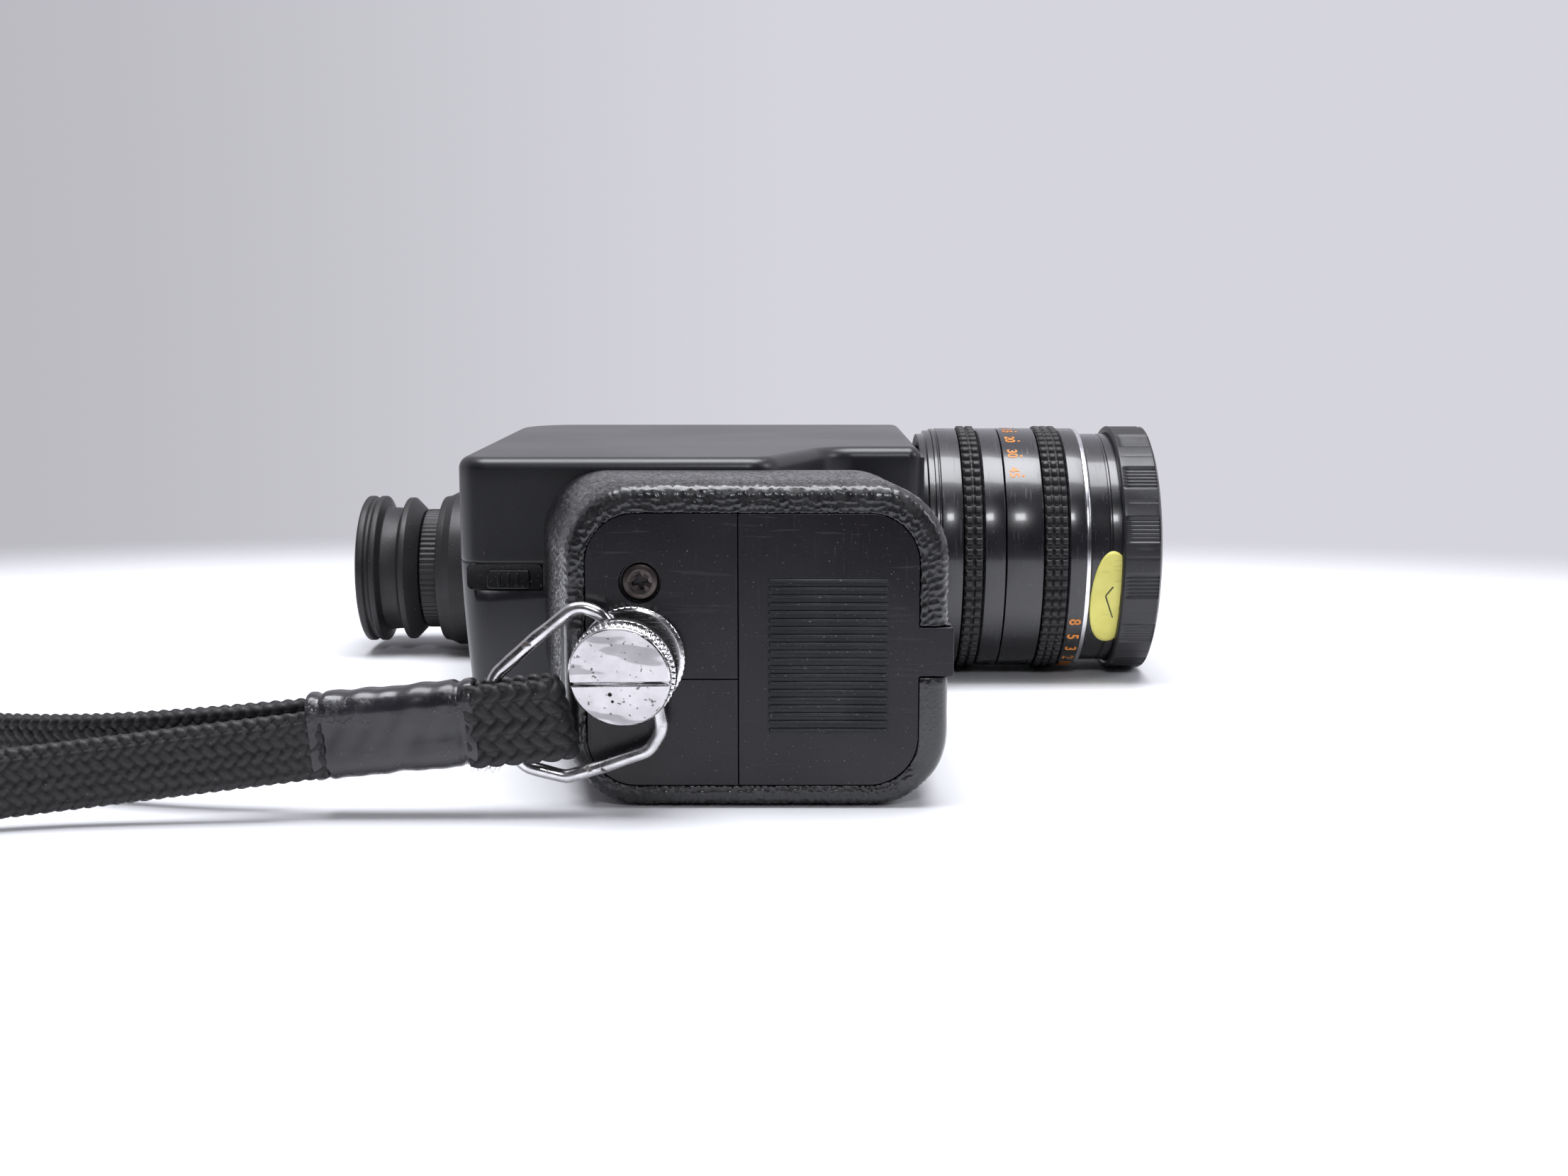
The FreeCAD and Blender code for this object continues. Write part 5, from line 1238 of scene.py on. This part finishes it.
class CINE_OT_housing(bpy.types.Operator):
    """Form the housing's two halves: soft corners, draft, parting line, cavity and openings"""

    bl_idname = "cine.housing"
    bl_label = "Housing"

    # the outline at the foot, at the parting line and at the right face, with its corners' radii;
    # the fourth corner turns the other way
    LOW = ([(-64.7, -58.2), (-2.4, -58.2), (10.7, -32), (30, -32), (30, 43.8), (-64.7, 43.8)],
           [6, 5, 5, 3, 3, 6])
    MIDDLE = [(-67, -60), (-2, -60), (11, -32), (30, -32), (30, 45), (-67, 45)], [6.5, 5, 6, 3, 3, 6.5]
    HIGH = [(-67, -60), (-3, -60), (10, -32), (30, -32), (30, 45), (-67, 45)], [6.5, 8, 9, 3, 3, 14]
    # the groove at the parting line, as (height, inset)
    GROOVE = (32.75, 0.02), (32.88, 0.16), (33.0, 0.22), (33.08, 0.12), (33.2, 0.02), (33.4, 0.0)

    def ring(self, z, inset):
        """The outline at a height: even blends of the three outlines, drawn in by the inset."""
        outlines = []
        for corners, radii in (self.LOW, self.MIDDLE, self.HIGH):
            radii = np.array(radii) + np.array([-1, -1, 1, -1, -1, -1]) * inset
            outlines.append(soften(offset_corners(corners, inset), np.maximum(radii, 0.15), 16))
        low = max(0.0, (33 - z) / 33) ** 1.5
        high = float(ramp(z, 36.0, 54.5))
        flat = outlines[0] * low + outlines[1] * (1 - low - high) + outlines[2] * high
        return np.stack([flat[:, 0], flat[:, 1], 0 * flat[:, 0] + z], -1)

    def shell(self, foot, top, wall, edges):
        """Rings from the foot to the top, drawn in along a quarter round at both ends; the outer
        skin, which has no wall to stay inside, also has the parting line's groove."""
        bend = np.linspace(0, math.pi / 2, 8)
        rows = [self.ring(foot + edges[0] * (1 - math.sin(a)), wall + edges[0] * (1 - math.cos(a)))
                for a in bend[::-1]]
        rows += [self.ring(z, wall) for z in np.linspace(foot + edges[0], 32.5, 9)[1:]]
        if not wall:
            rows += [self.ring(z, inset) for z, inset in self.GROOVE]
        rows += [self.ring(z, wall) for z in np.linspace(34.5, top - edges[1], 8)]
        rows += [self.ring(top - edges[1] * (1 - math.sin(a)), wall + edges[1] * (1 - math.cos(a)))
                 for a in bend[1:]]
        return np.stack(rows)

    def execute(self, context):
        surface = Surface().grid(self.shell(0.0, 54.5, 0.0, (1.4, 2.6)), ends=True)
        surface.grid(self.shell(2.3, 52.3, 2.2, (0.4, 0.6)), ends=True, coat=1, inside_out=True)
        hole = soften([(27.0, 0.01), (27.0, 21.0), (33.0, 21.0), (33.0, 0.01)], 0.05, 1, closed=False)
        dial = soften([(43.5, 0.01), (43.5, 8.9), (47.0, 8.9), (47.0, 0.01)], 0.05, 1, closed=False)
        cuts = [block(-62.8, 12.9, -30.5, 40.9, -1, 2.7), block(-65.2, -49.3, -62, -58.9, 27.2, 32.75),
                block(-19.2, 3.2, 41.5, 46, 37.9, 49.1),
                Surface().grid(turned(hole, (0, 0, 28.5), 96, "x")),
                Surface().grid(turned(dial, DIAL_AXIS, 64, "y"))]
        piece("housing_shell", surface, [coat("housing"), coat("inside")], "camera",
              ["body_shell_right", "body_shell_left"], cuts)
        bed = plate(box_corners(-65.1, -49.4, 27.25, 32.7), [1.2] * 4, -59.35, -58.6, 0.12, 5)
        piece("latch_bed", Surface().grid(bed, ends=True), [coat("latch")], "camera", ())
        slide = Surface().grid(plate(box_corners(-60.9, -52.1, 27.6, 31.4), [0.8] * 4, -60.0, -59.4, 0.2, 6),
                               ends=True)
        for place in np.linspace(-58.4, -54.6, 3):
            rib = plate(box_corners(place - 0.35, place + 0.35, 28.2, 30.8), [0.2] * 4, -60.2, -59.8, 0.12, 3)
            slide.grid(rib, ends=True)
        piece("latch_slider", slide, [coat("latch")], "door_latch", ["door_latch"])
        box = box_corners(-62.7, 12.7, -30.4, 40.8)
        room = box_corners(-61.7, 11.7, -29.4, 39.8)
        room, box = soften(room, 2.0, 6), soften(box, 2.5, 6)
        rows = [np.stack([flat[:, 0], flat[:, 1], np.full(len(flat), z)], -1)
                for flat, z in ((room, 28.0), (room, 2.9), (box, 2.9), (box, 29.2))]
        spindle = soften([(27.0, 0.01), (27.0, 5.4), (30.0, 5.4), (30.0, 0.01)], 0.05, 1, closed=False)
        tray = Surface().grid(np.stack(rows), ends=True, soft=False)
        piece("film_chamber_tray", tray, [coat("alloy")], "camera", ["chassis"],
              [Surface().grid(turned(spindle, (-35.8, 2.6, 0), 48, "z"))])
        return {"FINISHED"}


def lens_piece(name, parts, body, nodes, coats=("lens",), axis=LENS_AXIS):
    """Rings of the lens, each a closed outline of (distance, radius) turned about the axis."""
    surface = Surface()
    for part in parts:
        outline, edge = part["outline"], part.get("edge", 0.18)
        profile = soften(outline, edge, 3, closed=not part.get("solid"))
        if part.get("fine"):
            profile = refined(np.concatenate([profile, profile[:1]]), part["fine"])[:-1]
        spots = turned(profile, axis, part.get("count", 224), "x", part.get("ripple"))
        surface.grid(spots, rows_close=not part.get("solid"), coat=part.get("coat", 0))
    return piece(name, surface, [coat(c) for c in coats], body, nodes)


def tube_outline(x0, x1, inner, outer):
    return [(x0, inner), (x1, inner), (x1, outer), (x0, outer)]


def bumps(rows, low, high, deep, inner):
    """Square pads round a ring: a pad stands where both the wave round the ring and the wave along
    it are near their tops, and the ground between pads lies lower."""
    def height(far, angle, radius):
        count = details().grip_bumps
        turns = saw(angle / TURN * count)
        steps = saw((far - low) / (high - low) * rows)
        pad = ramp(turns, 0.30, 0.48) * ramp(steps, 0.14, 0.34)
        outside = ramp(radius, inner, inner + 0.2)
        return -deep * (1 - pad) * outside
    return height


class CINE_OT_lens(bpy.types.Operator):
    """Turn the lens rings with their bumps, grooves, numerals and silver trim"""

    bl_idname = "cine.lens"
    bl_label = "Zoom lens"

    def execute(self, context):
        foot = [(0.9, 20.05), (4.0, 20.05), (4.0, 27.4), (2.6, 27.4), (2.4, 26.6), (0.9, 26.6)]
        lens_piece("lens_foot", [{"outline": foot, "edge": 0.12}], "camera", ["lens_flange"])
        fixed = [(4.0, 20.05), (9.8, 20.05), (9.8, 27.9), (5.3, 27.9), (5.1, 27.5), (4.9, 27.5),
                 (4.7, 27.8), (4.0, 27.8)]
        lens_piece("fixed_barrel", [{"outline": fixed, "edge": 0.1}], "camera", ["fixed_ring"])
        lens_piece("zoom_barrel", [
            {"outline": [(14.4, 20.1), (19.2, 20.1), (19.2, 27.9), (14.8, 27.9), (14.4, 27.5)], "edge": 0.1}],
            "zoom_ring", ["zoom_ring"])
        lens_piece("zoom_bumps", [
            {"outline": tube_outline(10.1, 14.35, 26.8, 28.4), "edge": 0.25, "fine": 0.2, "count": 730,
             "ripple": bumps(2, 10.1, 14.35, 0.9, 27.5)}],
            "zoom_ring", ["zoom_grip"], ("rubber",))
        lens_piece("scale_barrel", [{"outline": tube_outline(19.5, 27.7, 20.05, 27.9), "edge": 0.16}],
                   "camera", ["scale_ring"])
        lens_piece("focus_barrel", [
            {"outline": [(33.3, 20.1), (37.1, 20.1), (37.1, 27.9), (33.7, 27.9), (33.3, 27.5)], "edge": 0.1}],
            "focus_ring", ["focus_ring"])
        lens_piece("focus_bumps", [
            {"outline": tube_outline(28.0, 33.25, 26.8, 28.4), "edge": 0.25, "fine": 0.2, "count": 730,
             "ripple": bumps(3, 28.0, 33.25, 0.9, 27.5)}],
            "focus_ring", ["focus_grip"], ("rubber",))
        lens_piece("silver_trim", [{"outline": tube_outline(37.1, 38.2, 24.0, 27.75), "edge": 0.28}],
                   "focus_ring", ["trim_ring"], ("trim",))
        thread = [(39.4 + 0.55 * k + s, 24.0 + d) for k in range(13) for s, d in ((0.0, 0.0), (0.28, 0.28))]
        outside = [(46.7, 24.3), (47.0, 24.6), (47.0, 26.3), (46.7, 26.6), (43.3, 26.6), (43.1, 26.3),
                   (42.7, 26.3), (42.5, 26.6), (38.6, 26.6), (38.4, 26.9), (38.2, 26.9)]
        barrel = [(38.2, 19.1), (39.4, 19.1)] + thread + outside
        lens_piece("front_barrel_ring", [{"outline": barrel, "edge": 0.06}], "focus_ring", ["front_barrel"])
        self.scales()
        self.cap()
        self.label()
        return {"FINISHED"}

    def scales(self):
        sizes = ["45", "30", "20", "15", "10", "8"]
        surface_radius, step = 27.91, 12.5
        numerals("focal_numerals", sizes, [(21.6, 44 + step * k) for k in range(6)], surface_radius, 3.1,
                 "camera", "orange")
        numerals("focal_dots", ["."] * 6, [(24.6, 42 + step * k) for k in range(6)], surface_radius, 3.8,
                 "camera", "orange")
        far = ["8", "5", "3", "2", "15", "12"]
        numerals("distance_numerals", far, [(35.3, -30 - 9.5 * k) for k in range(6)], surface_radius, 3.6,
                 "focus_ring", "orange")

    def cap(self):
        """The cap's rim: smooth lands alternate with patches of fine ribs, and both end at the
        chamfered front edge."""
        patches = details().cap_patches

        def ribs(far, angle, radius):
            turns = (angle - math.pi + math.radians(15)) / TURN * patches
            land = saw(turns + 0.5)
            patch = ramp(land, 0.52, 0.60)
            fine = saw(angle / TURN * patches * 14)
            here = ramp(far, 46.2, 46.5) * (1 - ramp(far, 53.2, 53.5)) * ramp(radius, 27.6, 27.9)
            return -here * (patch * (0.28 + 0.30 * fine) + 0.10 * (1 - ramp(land, 0.0, 0.06)))

        outline = [(45.3, 26.7), (50.0, 26.7), (50.0, 0.02), (54.2, 0.02), (54.2, 26.4), (53.5, 28.2),
                   (53.2, 28.4), (45.7, 28.4), (45.3, 28.1)]
        profile = soften(outline, [.1, .3, 0, 0, .5, .3, .2, .2, .1], 3, closed=False)
        rim = int(np.argmax(profile[:, 1] > 28.1))
        profile = np.concatenate([refined(profile[:rim + 1], 1.2)[:-1], refined(profile[rim:], 0.6)])
        spots = turned(profile, LENS_AXIS, patches * 56, "x", ribs)
        surface = Surface().grid(spots, rows_close=True)
        dish = soften([(54.19, 0.02), (54.19, 20.6), (53.9, 20.9), (53.9, 21.6), (54.19, 21.9), (54.19, 23.0),
                       (53.0, 23.0), (53.0, 0.02)], 0.08, 2, closed=False)
        surface.grid(turned(dish, LENS_AXIS, 192, "x"))
        piece("push_on_cap", surface, [coat("cap")], "lens_cap", ["lens_cap"])

    def label(self):
        """A long oval of paper wrapped round the barrel: distance from its middle grows evenly to the
        edge, its width runs along the lens and its height becomes an angle. The cap cuts it off."""
        share = np.linspace(0, 1, 14)[:, None]
        angle = np.arange(96) / 96 * TURN
        x = np.minimum(43.3 + 4.75 * share * np.cos(angle), 45.25)
        turn = math.radians(-20.5) + share * np.sin(angle) * 12.0 / 26.7
        layers = []
        for lift in (0.04, 0.12):
            radius = 26.6 + lift
            layers.append(np.stack([30 + x, -radius * np.cos(turn), 28.5 + radius * np.sin(turn)], -1))
        spots = np.concatenate([layers[0], layers[1][::-1]])
        surface = Surface().grid(spots)
        line = even_points(np.array([(43.4, -12.5), (41.9, -17.0), (43.9, -29.0)]), 24)
        turn = np.radians(line[:, 1])
        path = np.stack([30 + line[:, 0], -26.74 * np.cos(turn), 28.5 + 26.74 * np.sin(turn)], -1)
        surface.grid(tube(path, 0.16, 8, up=(0.3, 1.0, 0.2)), coat=1)
        piece("inspection_label", surface, [coat("paper"), coat("ink")], "focus_ring", ["inspection_sticker"])


class CINE_OT_eyepiece(bpy.types.Operator):
    """Turn the eyepiece: base, tube, dioptre ring and the flanged rubber cup"""

    bl_idname = "cine.eyepiece"
    bl_label = "Eyepiece"

    def execute(self, context):
        base = [(0, 16.8), (0, 19.0), (-1.2, 19.0), (-1.6, 18.5), (-2.2, 18.5), (-2.6, 19.0), (-13.6, 19.0),
                (-15.4, 18.1), (-17.0, 17.8), (-17.0, 9.0), (-14.8, 9.0), (-14.8, 16.8)]
        lens_piece("eyepiece_base_ring", [{"outline": base, "edge": 0.35}], "camera", ["eyepiece_base"],
                   ("rubber",), EYE_AXIS)
        lens_piece("eyepiece_barrel", [{"outline": tube_outline(-30.0, -14.0, 7.2, 9.0), "edge": 0.2}],
                   "camera", ["eyepiece_tube"], ("lens",), EYE_AXIS)

        def notches(far, angle, radius):
            """Fine straight knurl on the dioptre ring's rim."""
            return -0.3 * saw(angle / TURN * 70) * ramp(radius, 14.2, 14.6)

        lens_piece("diopter_knurl", [{"outline": tube_outline(-21.4, -17.4, 9.05, 14.7), "edge": 0.3,
                                      "fine": 0.8, "count": 560, "ripple": notches}],
                   "diopter_ring", ["diopter_ring"], ("rubber",), EYE_AXIS)
        cup = [(-36.5, 12.4), (-36.3, 17.4), (-35.9, 18.0), (-34.6, 18.0), (-34.1, 17.3), (-33.4, 17.3),
               (-32.9, 18.0), (-31.6, 18.0), (-30.9, 15.2), (-26.9, 15.0), (-26.0, 17.6), (-24.7, 17.6),
               (-21.8, 14.6), (-21.7, 9.05), (-30.4, 9.05), (-32.4, 11.0)]
        lens_piece("rubber_eyecup", [{"outline": cup, "edge": 0.45}], "camera", ["eyecup"],
                   ("rubber",), EYE_AXIS)
        return {"FINISHED"}


class CINE_OT_top_controls(bpy.types.Operator):
    """Turn the speed dial with its knurl and its white pointer"""

    bl_idname = "cine.top_controls"
    bl_label = "Top controls"

    def execute(self, context):
        def knurl(far, angle, radius):
            return -0.32 * saw(angle / TURN * 48) * ramp(radius, 8.0, 8.4) * ramp(far, 44.5, 44.8)

        profile = [(44.0, 0.02), (44.0, 8.2), (44.3, 8.5), (47.5, 8.5), (48.0, 8.0), (48.0, 6.2), (47.8, 6.0),
                   (47.8, 0.02)]
        profile = soften(profile, [0, .1, .1, .2, .2, .1, .1, 0], 3, closed=False)
        profile = refined(profile, 0.5)
        surface = Surface().grid(turned(profile, DIAL_AXIS, 384, "y", knurl))
        pointer = plate(box_corners(-48.35, -47.65, 44.4, 48.4), [.2] * 4, 47.95, 47.7, 0.05, 3)
        surface.grid(pointer, ends=True, coat=1)
        piece("speed_dial_knob", surface, [coat("cap"), coat("white")], "speed_dial", ["speed_dial"])
        return {"FINISHED"}


class CINE_OT_stage(bpy.types.Operator):
    """Set the table, the surroundings, the lights and the camera"""

    bl_idname = "cine.stage"
    bl_label = "Stage"

    def execute(self, context):
        stage = context.scene.cine_stage
        radius, rings = 2.4, 40
        share = np.linspace(0.0, 1, rings)[:, None] ** 2
        angle = np.arange(96) / 96 * TURN
        flat = np.stack([radius * share * np.cos(angle), radius * share * np.sin(angle),
                         0 * share * angle], -1)
        mesh = sheet("table", flat, columns_close=True)
        work = bmesh.new()
        work.from_mesh(mesh)
        bmesh.ops.remove_doubles(work, verts=work.verts, dist=1e-6)
        bmesh.ops.recalc_face_normals(work, faces=work.faces)
        work.to_mesh(mesh)
        work.free()
        table = bpy.data.objects.new("table", mesh)
        context.scene.collection.objects.link(table)
        mesh.materials.append(self.table_coat(stage))
        self.surroundings(stage)
        self.lights(stage)
        eye = bpy.data.cameras.new("eye")
        eye.lens, eye.sensor_width, eye.clip_start, eye.clip_end = stage.focal, 36.0, 0.01, 20.0
        holder = bpy.data.objects.new("eye", eye)
        holder.location = (0.00965, -0.3958, 0.086)
        holder.rotation_euler = (math.radians(90 - stage.tilt), 0, 0)
        context.scene.collection.objects.link(holder)
        context.scene.camera = holder
        context.scene.view_settings.view_transform = "Standard"
        context.scene.view_settings.look = "None"
        return {"FINISHED"}

    def table_coat(self, stage):
        """Near-white card with faint fibres and scuffs that fades into the surroundings with
        distance from the middle."""
        card = Finish("table_card", tuple(stage.floor), 0.75, IOR=1.4)
        card.vary(9.0, tuple(0.965 * c for c in stage.floor), 0.8)
        card.scratches(60.0, (1, 5, 1), 0.12, (0.70, 0.70, 0.73), cut=0.745)
        card.raise_by(card.noise(700.0, detail=4.0), 0.06, 0.0002)
        made = card.done()
        length = card.node("ShaderNodeVectorMath")
        length.operation = "LENGTH"
        middle = card.node("ShaderNodeMapping")
        middle.inputs["Location"].default_value = (0.02, 0.052, 0)
        middle.inputs["Scale"].default_value = (0.62, 1, 1)
        card.link(card.place, middle.inputs["Vector"])
        card.link(middle.outputs["Vector"], length.inputs[0])
        fade = card.spread(length.outputs["Value"], 0.20, 0.36)
        clear = card.node("ShaderNodeBsdfTransparent")
        both = card.node("ShaderNodeMixShader")
        output = [n for n in card.tree.nodes if n.type == "OUTPUT_MATERIAL"][0]
        card.link(fade, both.inputs[0])
        card.link(card.shader.outputs["BSDF"], both.inputs[1])
        card.link(clear.outputs["BSDF"], both.inputs[2])
        card.link(both.outputs["Shader"], output.inputs["Surface"])
        return made

    def surroundings(self, stage):
        """A plain dome: white below the horizon, a pale grey above it that is darker to the left."""
        world = bpy.data.worlds.new("surroundings")
        bpy.context.scene.world = world
        world.use_nodes = True
        tree = world.node_tree
        tree.nodes.clear()
        place = tree.nodes.new("ShaderNodeTexCoord")
        split = tree.nodes.new("ShaderNodeSeparateXYZ")
        tree.links.new(place.outputs["Generated"], split.inputs[0])

        def share(axis, low, high):
            node = tree.nodes.new("ShaderNodeMapRange")
            node.interpolation_type = "SMOOTHSTEP"
            node.inputs["From Min"].default_value, node.inputs["From Max"].default_value = low, high
            tree.links.new(split.outputs[axis], node.inputs["Value"])
            return node.outputs["Result"]

        def mixed(amount, first, second):
            node = tree.nodes.new("ShaderNodeMix")
            node.data_type = "RGBA"
            tree.links.new(amount, node.inputs["Factor"])
            for socket, value in ((node.inputs[6], first), (node.inputs[7], second)):
                if isinstance(value, tuple):
                    socket.default_value = value
                else:
                    tree.links.new(value, socket)
            return node.outputs[2]

        tone = tuple(stage.backdrop)
        wall = mixed(share("X", -0.42, 0.05), (*(0.74 * c for c in tone), 1.0), (*tone, 1.0))
        glow = tree.nodes.new("ShaderNodeBackground")
        output = tree.nodes.new("ShaderNodeOutputWorld")
        tree.links.new(mixed(share("Z", -0.174, -0.124), (0.97, 0.975, 1.0, 1.0), wall), glow.inputs["Color"])
        tree.links.new(glow.outputs["Background"], output.inputs["Surface"])
        self.flag()

    def flag(self):
        """A dark part of a sphere in front of the subject, unseen by the camera, that keeps the
        surroundings from washing out the surfaces that face it."""
        turn, rise = np.meshgrid(np.radians(np.linspace(-172, -8, 33)),
                                 np.radians(np.linspace(-30, 58, 17)))
        spots = 1.5 * np.stack([np.cos(rise) * np.cos(turn), np.cos(rise) * np.sin(turn), np.sin(rise)], -1)
        mesh = sheet("flag", spots)
        cloth_coat = Finish("flag_cloth", (0.03, 0.03, 0.034), 0.9)
        mesh.materials.append(cloth_coat.vary(4.0, (0.02, 0.02, 0.022)).done())
        cloth = bpy.data.objects.new("flag", mesh)
        bpy.context.scene.collection.objects.link(cloth)
        cloth.visible_camera = False

    def lights(self, stage):
        spots = (("key", (0.0, -0.02, 0.95), (0.0, 0.0, 0.0), 0.85, 0.52, stage.key),
                 ("small", (0.12, -0.85, 0.66), (0.0, 0.0, 0.02), 0.16, 0.12, stage.key * 0.12),
                 ("side", (0.95, -0.25, 0.60), (0.0, 0.0, 0.02), 0.25, 0.4, stage.key * 0.15))
        for name, at, aim, wide, high, power in spots:
            lamp = bpy.data.lights.new(name, "AREA")
            lamp.shape, lamp.size, lamp.size_y, lamp.energy = "RECTANGLE", wide, high, power
            lamp.color = (0.95, 0.96, 1.0)
            holder = bpy.data.objects.new(name, lamp)
            holder.location = at
            holder.rotation_euler = (Vector(aim) - Vector(at)).to_track_quat("-Z", "Y").to_euler()
            bpy.context.scene.collection.objects.link(holder)


STEPS = (CINE_OT_finishes, CINE_OT_wrist_strap, CINE_OT_strap_end, CINE_OT_strap_screw, CINE_OT_grip_skin,
         CINE_OT_grip_end, CINE_OT_housing, CINE_OT_lens, CINE_OT_eyepiece, CINE_OT_top_controls,
         CINE_OT_stage)


class CINE_PT_camera(bpy.types.Panel):
    """Every piece of the cine camera in building order"""

    bl_label = "Cine camera"
    bl_idname = "CINE_PT_camera"
    bl_space_type = "VIEW_3D"
    bl_region_type = "UI"
    bl_category = "Cine camera"

    def draw(self, context):
        layout = self.layout
        for group in (context.scene.cine_finishes, context.scene.cine_details, context.scene.cine_stage):
            column = layout.column(align=True)
            for name in group.__annotations__:
                column.prop(group, name)
        for step in STEPS:
            layout.operator(step.bl_idname)


SETTINGS = {"cine_finishes": CineFinishSettings, "cine_details": CineDetailSettings,
            "cine_stage": CineStageSettings}


def register():
    for kind in (*SETTINGS.values(), *STEPS, CINE_PT_camera):
        bpy.utils.register_class(kind)
    for name, kind in SETTINGS.items():
        setattr(bpy.types.Scene, name, PointerProperty(type=kind))


def unregister():
    for name in SETTINGS:
        delattr(bpy.types.Scene, name)
    for kind in reversed((*SETTINGS.values(), *STEPS, CINE_PT_camera)):
        bpy.utils.unregister_class(kind)


def main():
    register()
    for step in STEPS:
        group, name = step.bl_idname.split(".")
        getattr(getattr(bpy.ops, group), name)()


if __name__ == "__main__":
    main()
